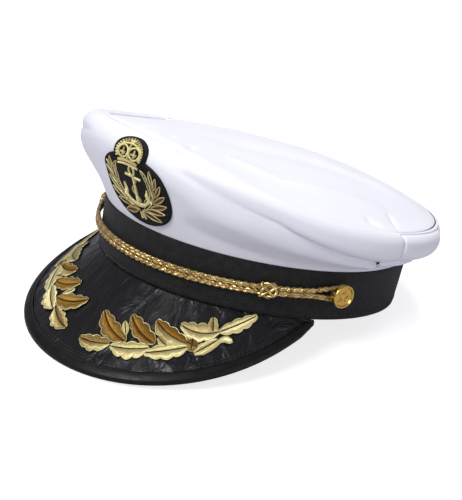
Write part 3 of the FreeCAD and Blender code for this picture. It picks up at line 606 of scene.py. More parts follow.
crown_top = panel("crown_top_cloth", top_grid(cloth_thickness + seam_gap, 161), cloth_thickness, crown_cloth)
fit(crown_top, "cap", "crown_cloth", "crown_top_panel")

white_thread = thread_finish("white_thread", (0.62, 0.62, 0.66), 0.5)
wall_whole = wall_grid(np.linspace(-180, 180, 361), wall_shares)
stitch_row = 66
welt_line = wall_whole[:, stitch_row] + grid_normals(wall_whole, False)[:, stitch_row] * 0.12
welt_stitches = path_object("welt_stitches", [welt_line])
grow(welt_stitches, stitch_tree, pitch=0.0026, length=0.0021, thread_radius=0.0002, thread=white_thread)
fit(welt_stitches, "cap", "crown_cloth")


# ------------------------------------------------------------------ visor
# A curved board between two covers of black satin, sewn under the band's front. A strip
# of matt black sheet is rolled over its edge and held by two rows of stitches.

visor_depth, visor_half_angle, visor_fullness = 63.6, 77.0, 1.23
visor_slope_front, visor_slope_end, visor_end_trim, visor_drop = 49.6, 43.9, 2.2, 0.4
cover_thickness, board_thickness, layer_gap = 0.5, 1.6, 0.1
binding_width, binding_gap, binding_thickness = 4.8, 0.35, 0.9
visor_bottom = -2 * cover_thickness - board_thickness - 2 * layer_gap


def visor_width(angle):
    return visor_depth * np.maximum(1 - (np.asarray(angle, float) / visor_half_angle) ** 2, 0) ** visor_fullness


def visor_point(angle, depth, lift=0.0):
    """Points on the visor, a way down its slope from the band and a height over its face."""
    angle, depth, lift = np.broadcast_arrays(*(np.asarray(v, float) for v in (angle, depth, lift)))
    slope = np.radians(visor_slope_front + (visor_slope_end - visor_slope_front) * (angle / visor_half_angle) ** 2)
    point = band_point(angle, 0, depth * np.cos(slope) + lift * np.sin(slope))
    point[..., 2] = -visor_drop - depth * np.sin(slope) + lift * np.cos(slope)
    return point


visor_limit = visor_half_angle - visor_end_trim
visor_angles = np.linspace(-visor_limit, visor_limit, 241)
down = np.linspace(0, 1, 45)


def cover_grid(lift, puckers):
    angle = visor_angles[:, None]
    width = visor_width(angle)
    depth = width * down[None, :]
    to_edge = width - depth
    pull = np.exp(-((to_edge - 6.5) / 5.5) ** 2) * np.clip(width / 20, 0, 1)
    crease = np.sin(np.radians(angle) * 100 / 1.9 + 2 * np.sin(np.radians(angle) * 9)) * pull * puckers
    crease = crease + puckers * 1.3 * ripple(np.radians(angle) * 110, depth, 11, 12.0)
    return visor_point(angle, depth, lift + crease * np.clip(depth / 4, 0, 1) * np.clip((to_edge - 1) / 3, 0, 1))


visor_cloth, visor_tree, visor_shader = cloth_finish(
    "visor_cloth", (0.001, 0.001, 0.0015), (0.008, 0.008, 0.011), 0.34, 3.0, 0.6, 0.10, slub=0.4,
    specular_ior_level=0.45)
visor_place = node(visor_tree, "UVMap", uv_map="cloth")
drawn = node(visor_tree, "Mapping", {"Vector": visor_place.outputs[0], "Scale": (0.09, 0.06, 0.1)})
wrinkle = node(visor_tree, "TexNoise", {"Vector": drawn.outputs[0], "Scale": 1.0, "Detail": 3.0,
                                                  "Distortion": 0.8})
wrinkled = node(visor_tree, "Bump", {"Height": wrinkle.outputs[0], "Strength": 1.0, "Distance": 0.0022})
visor_tree.links.new(visor_shader.inputs["Normal"].links[0].from_socket, wrinkled.inputs["Normal"])
visor_tree.links.new(wrinkled.outputs[0], visor_shader.inputs["Normal"])
visor_top = panel("visor_top_cloth", cover_grid(0, 0.2)[:, ::-1], cover_thickness, visor_cloth)
visor_under = panel("visor_under_cloth", cover_grid(visor_bottom, 0.08), cover_thickness, visor_cloth)
fit(visor_top, "cap", "visor_cloth", "visor_top_cover")
fit(visor_under, "cap", "visor_cloth", "visor_under_cover")

binding_sheet = grained("binding_sheet", (0.002, 0.002, 0.002), 0.5, 260.0, 6.0, roughness=(0.4, 0.7, 0.4, 0.6),
                        bump=(0.12, 0.0002), specular_ior_level=0.3)


def binding_grid():
    middle = visor_bottom / 2
    half = -visor_bottom / 2 + binding_gap + binding_thickness
    width = visor_width(visor_angles)
    lip = np.minimum(binding_width, width)
    end = width + binding_gap
    half = half * np.clip(0.3 + (visor_limit - np.abs(visor_angles)) / 8, 0, 1)
    swell = 0.12 * np.sin(np.radians(visor_angles) * 100 / 2.3)
    columns = []
    for share in np.linspace(1, 0, 7):
        plump = 0.15 * math.sin(math.pi * (1 - share)) - 0.35 * share ** 4
        columns.append(visor_point(visor_angles, end - lip * share, middle + half + plump + swell * share))
    for turn in np.radians(np.linspace(80, -80, 13)):
        columns.append(visor_point(visor_angles, end + half * math.cos(turn), middle + half * math.sin(turn)))
    for share in np.linspace(0, 1, 7):
        columns.append(visor_point(visor_angles, end - lip * share, middle - half))
    return np.stack(columns, 1)[:, ::-1]


visor_binding = panel("visor_edge_roll", binding_grid(), binding_thickness, binding_sheet)
fit(visor_binding, "cap", "binding", "visor_binding")

stitch_angles = np.linspace(-63, 63, 241)
visor_stitches = path_object("visor_stitches", [
    visor_point(stitch_angles, visor_width(stitch_angles) - inset, 0.15) for inset in (5.6, 7.4)])
visor_thread = thread_finish("visor_thread", (0.03, 0.03, 0.032), 0.5)
grow(visor_stitches, stitch_tree, pitch=0.0027, length=0.0019, thread_radius=0.00026, thread=visor_thread)
fit(visor_stitches, "cap", "visor_cloth")


# ------------------------------------------------------------------ leaf sprays
# Two mirrored sprays of oak leaves with an acorn, machine embroidered in metallic gold
# thread on the visor's cover: satin stitches over padding, corded edges and black veins.

thread_tree, given, gives = new_tree(
    "Geometry", "laid_thread", [("Geometry", "Geometry"), ("Thread radius", "Float", 0.0002), ("Sides", "Int", 5),
                                ("Thread", "Material")], [("Geometry", "Geometry")])


def marked_line(tree, given):
    """The given lines as curves that carry the distance along them, and that distance."""
    line = node(tree, "GeometryNodeMeshToCurve", {0: given["Geometry"]})
    run = node(tree, "GeometryNodeSplineParameter").outputs["Length"]
    marked = node(tree, "GeometryNodeStoreNamedAttribute",
                  {"Geometry": line.outputs[0], "Name": "along", "Value": run}, data_type="FLOAT")
    return marked.outputs[0], run


def marked_ring(tree, sides, radius):
    """A ring to sweep along a curve; each of its points carries the way it faces."""
    ring = node(tree, "GeometryNodeCurvePrimitiveCircle", {"Resolution": sides, "Radius": radius})
    spot = node(tree, "GeometryNodeInputPosition").outputs[0]
    facing = maths(tree, "NORMALIZE", spot, kind="VectorMath")
    return node(tree, "GeometryNodeStoreNamedAttribute",
                {"Geometry": ring.outputs[0], "Name": "lay", "Value": facing}, data_type="FLOAT_VECTOR").outputs[0]


tube = node(thread_tree, "GeometryNodeCurveToMesh",
            {"Curve": marked_line(thread_tree, given)[0], "Fill Caps": True,
             "Profile Curve": marked_ring(thread_tree, given["Sides"], given["Thread radius"])})
hand_out(thread_tree, tube, given["Thread"], gives)


def gold_finish(name, dark, pale, rough, metal, filaments=0):
    """Metallic yarn: its shade comes from the piece's own attribute, its sheen from fine filaments."""
    material, tree, shader = finish(name, pale, rough, metallic=metal)
    shade = node(tree, "Attribute", attribute_name="shade")
    grain = grain_output(tree, 900.0, 3.0)
    share = node(tree, "Math", {0: shade.outputs["Fac"], 1: maths(tree, "MULTIPLY_ADD", grain, 0.5, -0.25)},
                 operation="ADD", use_clamp=True)
    tint = node(tree, "Mix", {0: share.outputs[0], 6: (*dark, 1), 7: (*pale, 1)}, data_type="RGBA")
    tree.links.new(tint.outputs[2], shader.inputs["Base Color"])
    height = grain
    if filaments:
        lay = node(tree, "Attribute", attribute_name="lay")
        axes = node(tree, "SeparateXYZ", {0: lay.outputs["Vector"]}).outputs
        along = node(tree, "Attribute", attribute_name="along")
        twist = maths(tree, "MULTIPLY", along.outputs["Fac"], 900.0)
        angle = maths(tree, "MULTIPLY_ADD", maths(tree, "ARCTAN2", axes[1], axes[0]), float(filaments), twist)
        height = maths(tree, "MULTIPLY_ADD", maths(tree, "SINE", angle), 0.5, grain)
    relief = node(tree, "Bump", {"Height": height, "Strength": 0.5, "Distance": 0.0001})
    tree.links.new(relief.outputs[0], shader.inputs["Normal"])
    return material


gold_thread = gold_finish("gold_thread", (0.26, 0.125, 0.006), (0.93, 0.85, 0.44), 0.38, 0.75)
dark_edge_thread = thread_finish("dark_edge_thread", (0.005, 0.0045, 0.004), 0.6, specular_ior_level=0.25)

flat_turn = math.degrees(1 / (band_half_length + visor_depth / 4))


def on_visor(x, y, lift):
    return visor_point(np.asarray(x) * flat_turn, y, lift)


# Painted glint: the thread colour steps lighter and darker from stitch to stitch, standing in for the shimmer of
# satin sheen.
painted_glint = 0.1                      # how much the shade goes up and down from stitch to stitch


class Embroidery:
    """Threads gathered as lines in space, each with its shade from 0, dark, to 1, pale."""

    def __init__(self, chart):
        self.chart, self.lines, self.shades = chart, [], []

    def lay(self, x, y, lift, shade):
        x, y, lift = np.broadcast_arrays(np.asarray(x, float), np.asarray(y, float), np.asarray(lift, float))
        self.lines.append(self.chart(x, y, lift))
        self.shades.append(np.broadcast_to(shade, x.shape))

    def strip(self, route, halves, pitch, base, top, shade, slant=0.0):
        """Satin stitches across a line of flat points, arched between its two edges."""
        route, halves = np.asarray(route, float), np.asarray(halves, float)
        steps = distances(route)
        count = max(int(steps[-1] / pitch), 2)
        for k, at in enumerate(np.linspace(0, steps[-1], count)):
            x, y, half = (np.interp(at, steps, v) for v in (route[:, 0], route[:, 1], halves))
            ahead = [np.interp(min(at + 0.4, steps[-1]), steps, route[:, i])
                     - np.interp(max(at - 0.4, 0), steps, route[:, i]) for i in (0, 1)]
            dx, dy = np.array(ahead) / np.hypot(*ahead)
            share = np.array([-1, -0.75, -0.3, 0.3, 0.75, 1])
            across_x, across_y = -dy + dx * slant, dx + dy * slant
            lift = base + (top - base) * np.sqrt(np.maximum(1 - share ** 2, 0))
            # The glint term paints a shimmer of sheen into each stitch's colour.
            self.lay(x + across_x * share * half, y + across_y * share * half, lift,
                     shade + painted_glint * math.sin(k * 2.4))

    def grow(self, name, radius, material, sides=5):
        made = path_object(name, self.lines, shade=np.concatenate(self.shades))
        return grow(made, thread_tree, thread_radius=radius, sides=sides, thread=material)


def leaf_shape(root, tip, halves, bend, lobes, share, side=1.0, extra=0.0):
    """Point on one edge (side 1 or -1) or the midrib (side 0) of a lobed leaf, on the flat."""
    root, tip, share = np.array(root, float), np.array(tip, float), np.asarray(share, float)
    run = tip - root
    length = np.hypot(*run)
    along, aside = run / length, np.array([-run[1], run[0]]) / length
    half = halves[0] if side > 0 else halves[1]
    envelope = np.sin(np.pi * np.clip(share, 0, 1) ** 0.8) ** 0.6
    scallop = 0.70 + 0.30 * np.abs(np.sin(math.pi * (lobes * share + 0.12 * side))) ** 0.8
    out = 0.3 + (half * 1.06 - 0.3) * envelope * scallop + extra
    curve = bend * np.sin(np.pi * share)
    return [root[i] + run[i] * share + aside[i] * (curve + side * out)
            + along[i] * 0.3 * half * envelope * abs(side) for i in (0, 1)]


# Leaves: root and tip (mm round, mm down), half widths on the band's side and on the edge's
# side, bend, lobes, and the shade at the root and tip of each half
leaf_list = (
    (25.8, 42.9, 6.6, 47.8, 4.6, 5.4, -1.2, 3.4, (0.30, 0.22), (0.85, 0.15)),
    (33.6, 38.5, 8.9, 27.1, 5.2, 5.8, -1.9, 3.6, (0.08, 0.14), (0.06, 0.12)),
    (31.7, 34.2, 26.5, 27.2, 1.9, 1.8, 0.0, 1.0, (0.80, 0.80), (0.90, 0.90)),
    (50.5, 33.4, 28.2, 22.3, 6.0, 4.2, -1.6, 3.4, (0.05, 0.12), (0.08, 0.12)),
    (57.7, 32.0, 51.4, 28.9, 2.1, 2.2, 0.0, 1.6, (0.40, 0.35), (0.55, 0.45)),
    (48.8, 36.9, 27.0, 44.2, 4.2, 6.2, -0.8, 3.5, (0.85, 0.75), (0.95, 0.70)),
    (69.6, 27.6, 45.8, 19.5, 5.0, 5.8, -1.7, 3.4, (0.06, 0.06), (1.00, 0.08)),
    (70.7, 29.2, 47.2, 40.5, 4.2, 5.0, -0.2, 3.6, (0.90, 0.80), (1.00, 0.85)),
    (83.6, 16.6, 82.0, 8.1, 3.0, 3.0, 0.1, 1.6, (0.60, 0.65), (0.30, 0.25)),
    (88.1, 15.6, 62.1, 17.5, 6.0, 5.2, -2.8, 3.6, (0.55, 0.50), (0.95, 0.75)),
    (87.8, 20.7, 75.2, 32.0, 3.2, 2.2, 0.0, 2.0, (0.85, 0.80), (0.90, 0.85)),
    (87.5, 15.8, 112.2, 1.5, 4.3, 3.4, 0.2, 3.6, (0.95, 0.80), (0.85, 0.75)),
)
acorn_spot, acorn_size = (72.6, 27.4), 3.8
leaf_pitch, fill_radius, outline_radius, vein_radius = 0.40, 0.00023, 0.00036, 0.00030
stem_route = ((76.0, 32.7), (80.4, 30.4), (84.0, 27.1), (87.1, 23.6), (89.1, 21.0), (91.5, 19.6), (94.0, 19.1),
              (96.6, 19.2))
stem_halves = (0.5, 1.2, 1.3, 1.3, 1.3, 1.9, 2.5, 1.2)


def embroider_spray(name, side):
    def chart(x, y, lift):
        return on_visor(x, y, lift) * np.array([side, 1, 1])

    gold, edge, vein = Embroidery(chart), Embroidery(chart), Embroidery(chart)
    shares = np.linspace(0, 1, 81)
    pads = []
    for number, (x0, d0, x1, d1, near, far, bend, lobes, shade_near, shade_far) in enumerate(leaf_list):
        root, tip = (x0, d0), (x1, d1)
        length = math.dist(root, tip)
        base = 0.12 + 0.16 * (number % 3)

        def at(share, where, extra=0.0):
            return leaf_shape(root, tip, (near, far), bend, lobes, share, where, extra)

        for where, shade in ((1, shade_near), (-1, shade_far)):
            count = int(length / leaf_pitch)
            for k, share in enumerate(np.linspace(0.02, 0.97, count)):
                x0, y0 = at(share, 0)
                x1, y1 = at(share, where)
                t = np.array([0.05, 0.35, 0.7, 0.93, 1.0])
                lift = base + np.array([0.45, 0.85, 0.8, 0.5, 0.2])
                # Each stitch's tone runs from the leaf's root shade to its tip shade. The 0.13 sine term is a painted
                # glint from stitch to stitch, and the 0.30 term along each thread is a painted sheen, darker by the
                # vein and paler at the edge.
                tone_and_glint = shade[0] + (shade[1] - shade[0]) * share + 0.13 * math.sin(k * 2.4 + number)
                gold.lay(x0 + (x1 - x0) * t, y0 + (y1 - y0) * t, lift, tone_and_glint + 0.30 * (t - 0.7))
            x, y = at(shares, where, 0.1)
            gold.lay(x, y, base + 0.45, 1.0)
            x, y = at(shares, where, 0.5)
            edge.lay(x, y, base + 0.15, 0)
        x, y = at(shares[2:-3], 0)
        vein.lay(x, y, base + 0.76, 0)
        grid = [chart(*at(shares[::4], where), base + low)
                for where, low in ((-1, 0.1), (-0.5, 0.4), (0, 0.45), (0.5, 0.4), (1, 0.1))]
        grid = np.stack(grid, 1)
        pads.append(panel("pad", grid if side * (tip[0] - root[0]) > 0 else grid[:, ::-1], 0.1, gold_pad))

    x, y = acorn_spot
    for k, t in enumerate(np.linspace(-0.97, 0.97, 19)):
        half = acorn_size * math.sqrt(1 - t * t)
        share = np.array([-1, -0.8, -0.3, 0.3, 0.8, 1])
        lift = 0.5 + 1.1 * math.sqrt(1 - t * t) * np.sqrt(np.maximum(1 - share ** 2, 0))
        # The sine term paints a glint from stitch to stitch into the acorn's thread colour.
        gold.lay(x + acorn_size * t + 0 * share, y + half * share, lift, 0.12 + 0.1 * math.sin(k * 2.4))
    turn = np.linspace(0, math.tau, 41)
    gold.lay(x + acorn_size * np.cos(turn), y + acorn_size * np.sin(turn), 0.6, 0.9)
    edge.lay(x + (acorn_size + 0.4) * np.cos(turn), y + (acorn_size + 0.4) * np.sin(turn), 0.35, 0)
    bar = np.linspace(-1, 1, 9)
    vein.lay(x + acorn_size * 0.9 * bar, y + 0.5 * bar, 0.75 + 0.95 * np.sqrt(1 - (bar * 0.95) ** 2), 0)
    vein.lay(x + 0.4 * bar, y + acorn_size * 0.9 * bar, 0.8 + 0.95 * np.sqrt(1 - (bar * 0.95) ** 2), 0)

    route = np.array(stem_route)
    gold.strip(route, stem_halves, 0.4, 0.3, 0.9, 0.9, 0.5)
    for where in (-1, 1):
        run = np.gradient(route, axis=0)
        aside = np.stack([-run[:, 1], run[:, 0]], 1) / np.hypot(*run.T)[:, None] * where
        aside = aside * (np.array(stem_halves)[:, None] + 0.3)
        edge.lay(route[:, 0] + aside[:, 0], route[:, 1] + aside[:, 1], 0.25, 0)

    threads = gold.grow(name + "_spray_threads", fill_radius, gold_thread)
    outline = edge.grow(name + "_spray_outline", outline_radius, dark_edge_thread)
    veins = vein.grow(name + "_spray_veins", vein_radius, dark_edge_thread)
    padding = merge(name + "_spray_padding", pads)
    fit(threads, "cap", "gold_thread", name + "_acorn", name + "_leaf_stem")
    fit(outline, "cap", "dark_gold_thread")
    fit(veins, "cap", "dark_gold_thread")
    fit(padding, "cap", "gold_thread", name + "_oak_leaves")


def merge(name, pieces):
    """One piece from several meshes that share a material."""
    bpy.ops.object.select_all(action="DESELECT")
    for piece in pieces:
        piece.select_set(True)
    bpy.context.view_layer.objects.active = pieces[0]
    bpy.ops.object.join()
    pieces[0].name = name
    pieces[0].data.name = name
    return pieces[0]


gold_pad = grained("gold_padding", (0.22, 0.14, 0.04), 0.6, 1500.0, bump=(0.6, 0.0002), metallic=0.3)
embroider_spray("left", 1)
embroider_spray("right", -1)


# ------------------------------------------------------------------ badge
# A pear-shaped patch of black felt with an overcast edge, embroidered in gold with a
# wreath, an anchor and a plain crown, then sewn flat to the front panel.

badge_centre_x, badge_foot_shift, badge_foot_rise, badge_upright = 7.8, 5.0, 3.5, 0.9
badge_turn, badge_level = math.radians(-9.0), math.radians(-3.2)
badge_lift, badge_base, badge_radius, badge_pitch = 0.3, 1.1, 0.0002, 0.34

graph = bpy.context.evaluated_depsgraph_get()
crown_tree = BVHTree.FromObject(crown_front, graph)
look_x, look_z = np.arange(-36, 44, 1.0), np.arange(31, 98, 1.0)
depths = np.zeros((len(look_x), len(look_z)))
for i, x in enumerate(look_x):
    for j, z in enumerate(look_z):
        hit = crown_tree.ray_cast(Vector((x, -300, z)) * MM, Vector((0, 1, 0)))[0]
        depths[i, j] = hit.y / MM if hit else depths[i, j - 1]
for _ in range(3):
    depths[1:-1, 1:-1] = (depths[1:-1, 1:-1] * 2 + depths[:-2, 1:-1] + depths[2:, 1:-1]
                          + depths[1:-1, :-2] + depths[1:-1, 2:]) / 6
slope_x, slope_z = np.gradient(depths)


def on_badge(x, z, lift):
    """Point of the flat patch laid on the front of the crown."""
    px = badge_centre_x + badge_foot_shift + x * math.cos(badge_turn) + z * math.sin(badge_turn)
    pz = band_height + badge_foot_rise + badge_upright * (z * math.cos(badge_turn) - x * math.sin(badge_level))
    i, j = np.clip(px - look_x[0], 0, len(look_x) - 1.001), np.clip(pz - look_z[0], 0, len(look_z) - 1.001)
    i0, j0 = i.astype(int), j.astype(int)
    fi, fj = i - i0, j - j0

    def between(table):
        return ((table[i0, j0] * (1 - fi) + table[i0 + 1, j0] * fi) * (1 - fj)
                + (table[i0, j0 + 1] * (1 - fi) + table[i0 + 1, j0 + 1] * fi) * fj)

    normal = unit(np.stack([between(slope_x), -np.ones_like(px), between(slope_z)], -1))
    return np.stack([px, between(depths), pz], -1) + normal * np.asarray(lift, float)[..., None]


body_middle, body_half, body_drop, shoulder_rise = 28.0, 23.2, 26.2, 15.8
head_middle, head_half, head_rise = 45.5, 11.6, 8.4


def badge_half(z):
    low = 1 - np.clip((body_middle - z) / body_drop, 0, 1) ** 2.3
    high = 1 - np.clip((z - body_middle) / shoulder_rise, 0, 1) ** 3.0
    body = body_half * np.sqrt(np.clip(np.where(z < body_middle, low, high), 0, 1))
    over = np.abs(z - head_middle) / np.where(z > head_middle, head_rise, 12.0)
    return np.maximum(body, head_half * np.sqrt(1 - np.clip(over, 0, 1) ** 2.5))


badge_foot, badge_top = body_middle - body_drop, head_middle + head_rise
outline_z = badge_foot + (badge_top - badge_foot) * (1 - np.cos(np.linspace(0, math.pi, 121))) / 2
halves = np.maximum(badge_half(outline_z), 0.05)
felt = grained("badge_felt", (0.006, 0.006, 0.006), 0.95, 1800.0, 5.0, bump=(0.8, 0.0004),
               specular_ior_level=0.15, sheen_weight=0.05)
columns = np.linspace(1, -1, 25)
patch_grid = on_badge(halves[:, None] * columns[None, :], outline_z[:, None] + 0 * columns[None, :],
                      badge_lift + badge_base + 0 * columns[None, :] * halves[:, None])
badge_patch = panel("badge_patch", patch_grid, badge_base, felt)
fit(badge_patch, "cap", "badge_felt", "badge_backing")

badge_face = badge_lift + badge_base
rim = np.concatenate([np.stack([halves, outline_z], 1), np.stack([-halves, outline_z], 1)[::-1]])
rim_steps = distances(rim)
overcast = Embroidery(on_badge)
for at in np.arange(0, rim_steps[-1], 0.42):
    x, z = (np.interp(at, rim_steps, rim[:, i]) for i in (0, 1))
    ahead = [np.interp((at + 0.5) % rim_steps[-1], rim_steps, rim[:, i])
             - np.interp((at - 0.5) % rim_steps[-1], rim_steps, rim[:, i]) for i in (0, 1)]
    dx, dz = np.array(ahead) / max(np.hypot(*ahead), 1e-6)
    inset = np.array([1.5, 1.3, 0.8, 0.2, -0.35, -0.5])
    lean = np.linspace(0, 0.5, 6)
    overcast.lay(x - dz * inset + dx * lean, z + dx * inset + dz * lean,
                 np.array([badge_face - 0.1, badge_face + 0.35, badge_face + 0.6, badge_face + 0.45, 1.0, 0.3]), 0)
badge_edge = overcast.grow("badge_overcast_edge", 0.00027, dark_edge_thread)
fit(badge_edge, "cap", "dark_gold_thread", "badge_border")


def blade(work, veins, root, tip, half, shade):
    """Lens-shaped leaf: satin stitches on each side of a dark vein, with a pale corded edge."""
    root, tip = np.array(root, float), np.array(tip, float)
    length = math.dist(root, tip)
    along = (tip - root) / length
    aside = np.array([along[1], -along[0]])
    t = np.array([0.12, 0.4, 0.75, 1.0])
    for where in (-1, 1):
        for k, share in enumerate(np.linspace(0.04, 0.96, max(int(length / 0.42), 4))):
            start = root + along * length * share
            end = start + aside * where * half * math.sin(math.pi * share ** 0.9) + along * half * 0.3
            points = start[None, :] + (end - start)[None, :] * t[:, None]
            # The 0.2 sine term paints a glint from stitch to stitch into the blade's thread colour.
            work.lay(points[:, 0], points[:, 1], badge_face + np.array([0.3, 0.6, 0.55, 0.15]),
                     shade + 0.2 * math.sin(k * 2.4 + root[0]))
        share = np.linspace(0, 1, 13)
        rim = root + along * length * share[:, None] + aside * where * (half * np.sin(math.pi * share))[:, None]
        work.lay(rim[:, 0], rim[:, 1], badge_face + 0.62, 1.0)
    mid = root + along * length * share[1:-1, None]
    veins.lay(mid[:, 0], mid[:, 1], badge_face + 0.62, 0)


wreath, anchor, crown, dark = (Embroidery(on_badge) for _ in range(4))
# Leaves of one half of the wreath, from the tie upwards: root, tip and half width
wreath_leaves = (
    (1.5, 10.5, 13.0, 7.4, 2.0), (5.0, 12.6, 17.5, 13.6, 1.6), (9.0, 15.0, 20.8, 19.6, 1.6),
    (3.8, 13.4, 8.6, 21.2, 1.0), (8.2, 15.6, 12.0, 24.0, 1.0), (12.0, 18.6, 22.0, 26.4, 1.3),
    (11.2, 19.8, 13.2, 28.8, 0.9), (14.4, 23.4, 21.6, 33.0, 1.1), (12.6, 24.4, 12.2, 33.4, 0.9),
    (16.0, 28.8, 19.4, 36.8, 1.0), (13.6, 29.6, 11.0, 37.2, 0.9), (16.2, 32.6, 15.6, 39.8, 1.0),
    (13.6, 34.4, 9.4, 38.6, 0.9))
wreath_stem = ((1.0, 10.4), (5.0, 12.6), (9.5, 16.5), (12.5, 21.0), (14.2, 26.0), (14.8, 31.0), (14.6, 36.0))
for side in (-1, 1):
    for x0, z0, x1, z1, half in wreath_leaves:
        blade(wreath, dark, (side * x0, z0), (side * x1, z1), half, 0.12)
    stem = [(side * x, z) for x, z in wreath_stem]
    wreath.strip(stem, [0.35] * len(stem), 0.4, badge_face + 0.1, badge_face + 0.45, 0.35, 0.6)
    wreath.strip(((side * 0.7, 9.6), (side * 1.2, 5.4)), (0.5, 0.6), 0.35, badge_face, badge_face + 0.6, 0.6)
badge_wreath = wreath.grow("badge_wreath_threads", badge_radius, gold_thread)
fit(badge_wreath, "cap", "gold_thread", "badge_wreath")

raised = (badge_face + 0.15, badge_face + 0.95)
turns = np.linspace(0, math.tau, 25)


def lean(points):
    """The anchor stands a little aslant on the patch."""
    return [(x + 0.11 * (z - 14.0), z) for x, z in points]


anchor.strip(lean(((0, 14.0), (0, 24.0), (0, 33.6))), (1.1, 0.7, 0.55), 0.36, *raised, 0.8, 0.4)
anchor.strip(lean(np.stack([1.9 * np.sin(turns), 36.3 + 2.8 * np.cos(turns)], 1)), [0.42] * 25, badge_pitch, *raised,
             0.9, 0.6)
anchor.strip(lean(((-5.6, 33.0), (0, 32.4), (5.4, 31.8))), (0.8, 0.4, 0.8), 0.36, *raised, 0.9, 0.3)
for side in (-1, 1):
    sweep = np.radians(np.linspace(0, 70, 9))
    arm = np.stack([side * 8.6 * np.sin(sweep), 22.6 - 8.6 * np.cos(sweep)], 1)
    anchor.strip(lean(arm), np.linspace(1.3, 0.6, 9), 0.36, *raised, 0.85, 0.3)
    anchor.strip(lean(((side * 9.2, 18.4), (side * 7.6, 22.0), (side * 8.6, 26.4))), (1.5, 1.3, 0.2), 0.36,
                 *raised, 0.9, 0.2)
swing = np.linspace(0, 1, 31)
rope_x = 2.4 * np.sin(swing * 2.6 * math.pi) * (0.6 + 0.5 * swing)
anchor.strip(lean(np.stack([rope_x, 34.0 - 17.0 * swing], 1)), [0.34] * 31, badge_pitch, badge_face + 0.3,
             badge_face + 1.05, 0.55, 0.8)
badge_anchor = anchor.grow("badge_anchor_threads", badge_radius, gold_thread)
fit(badge_anchor, "cap", "gold_thread", "badge_anchor")

bar_x = np.linspace(-7.6, 7.6, 13)
crown.strip(np.stack([bar_x, 39.3 - 0.015 * bar_x ** 2], 1), [0.5] * 13, badge_pitch, *raised, 0.95)
crown.strip(np.stack([bar_x * 0.95, 41.2 - 0.015 * bar_x ** 2], 1), [0.75] * 13, badge_pitch, *raised, 0.6)
for side in (-1, 1):
    crown.strip(np.stack([side * 4.1 + 3.7 * np.sin(turns), 45.6 + 3.2 * np.cos(turns)], 1), [0.38] * 25, badge_pitch,
                *raised, 0.95, 0.4)
    crown.strip(((side * 4.1, 43.6), (side * 4.1, 47.4)), (0.8, 0.3), badge_pitch, *raised, 0.7)
    crown.strip(((side * 4.1 - 1.8, 45.0), (side * 4.1 + 1.8, 45.0)), (0.45, 0.45), badge_pitch, *raised, 0.7)
crown.strip(((0, 42.5), (0, 51.0)), (0.4, 0.4), badge_pitch, *raised, 0.9)
crown.strip(((-1.3, 51.6), (1.3, 51.6)), (0.6, 0.6), badge_pitch, *raised, 0.95)
arch = np.radians(np.linspace(-112, 112, 33))
crown.strip(np.stack([8.6 * np.sin(arch), 45.2 + 5.2 * np.cos(arch)], 1), [0.36] * 33, badge_pitch, *raised, 0.9, 0.4)
for turn in np.radians(np.linspace(-112, 112, 21)):
    spoke = [(reach * 1.3 * math.sin(turn), 45.2 + reach * math.cos(turn)) for reach in (6.3, 7.5)]
    crown.strip(spoke, (0.36, 0.42), 0.3, *raised, 0.95)
badge_crown = crown.grow("badge_crown_threads", badge_radius, gold_thread)
fit(badge_crown, "cap", "gold_thread", "badge_crown")
badge_veins = dark.grow("badge_leaf_veins", 0.00028, dark_edge_thread)
fit(badge_veins, "cap", "dark_gold_thread")


# ------------------------------------------------------------------ chin cord
# Two plaited gold cords, one over the other. Each comes out of the far slide knot, runs
# along the band, loops round the shank of its side button and ends in the near knot.

cord_radius, cord_lane_gap, cord_stand_off = 1.55, 0.1, 2.8
pivot_height, cord_front_height, loop_stand_off, loop_reach = 19.0, 14.0, 4.2, 3.55
knot_angle, button_angle = 58.5, 80.0
cord_lane = cord_radius + cord_lane_gap / 2
pivot = band_point(button_angle, pivot_height) * np.array([0, 1, 1])
front_reach = pivot[1] - band_point(0.0, cord_front_height, cord_stand_off)[1]
cord_tilt = math.atan2(pivot_height - cord_front_height, front_reach)
plane_forward = np.array([0, -math.cos(cord_tilt), -math.sin(cord_tilt)])
plane_up = np.array([0, -math.sin(cord_tilt), math.cos(cord_tilt)])


def cord_guide(angle):
    """Points and outward directions of the middle of the two cords along the band."""
    angle = np.asarray(angle, float)
    share = np.cos(np.radians(angle)) - math.cos(math.radians(button_angle))
    height = pivot_height - share * (pivot_height - cord_front_height)
    point = band_point(angle, height, cord_stand_off)
    forward = (pivot[1] - point[:, 1]) / math.cos(cord_tilt)
    placed = pivot + np.outer(point[:, 0], [1, 0, 0]) + np.outer(forward, plane_forward)
    return placed, band_normal(angle)


def facing_angle(facing):
    """Angle round the cap where the band faces a given direction."""
    tries = np.linspace(0, 90, 1801)
    normal = band_normal(tries)
    return float(np.interp(facing, np.degrees(np.arctan2(normal[:, 0], -normal[:, 1])), tries))


knot_at = facing_angle(knot_angle)
leave_at = facing_angle(70.7)
shank_spot = band_point(button_angle, pivot_height, loop_stand_off)


def loop_side(side):
    """Middle line from where the cord leaves the band to the shank, and its outward direction."""
    start = cord_guide([side * leave_at])[0][0]
    end = shank_spot * np.array([side, 1, 1])
    out = band_normal(np.array([side * button_angle]))[0]
    return start, end, out


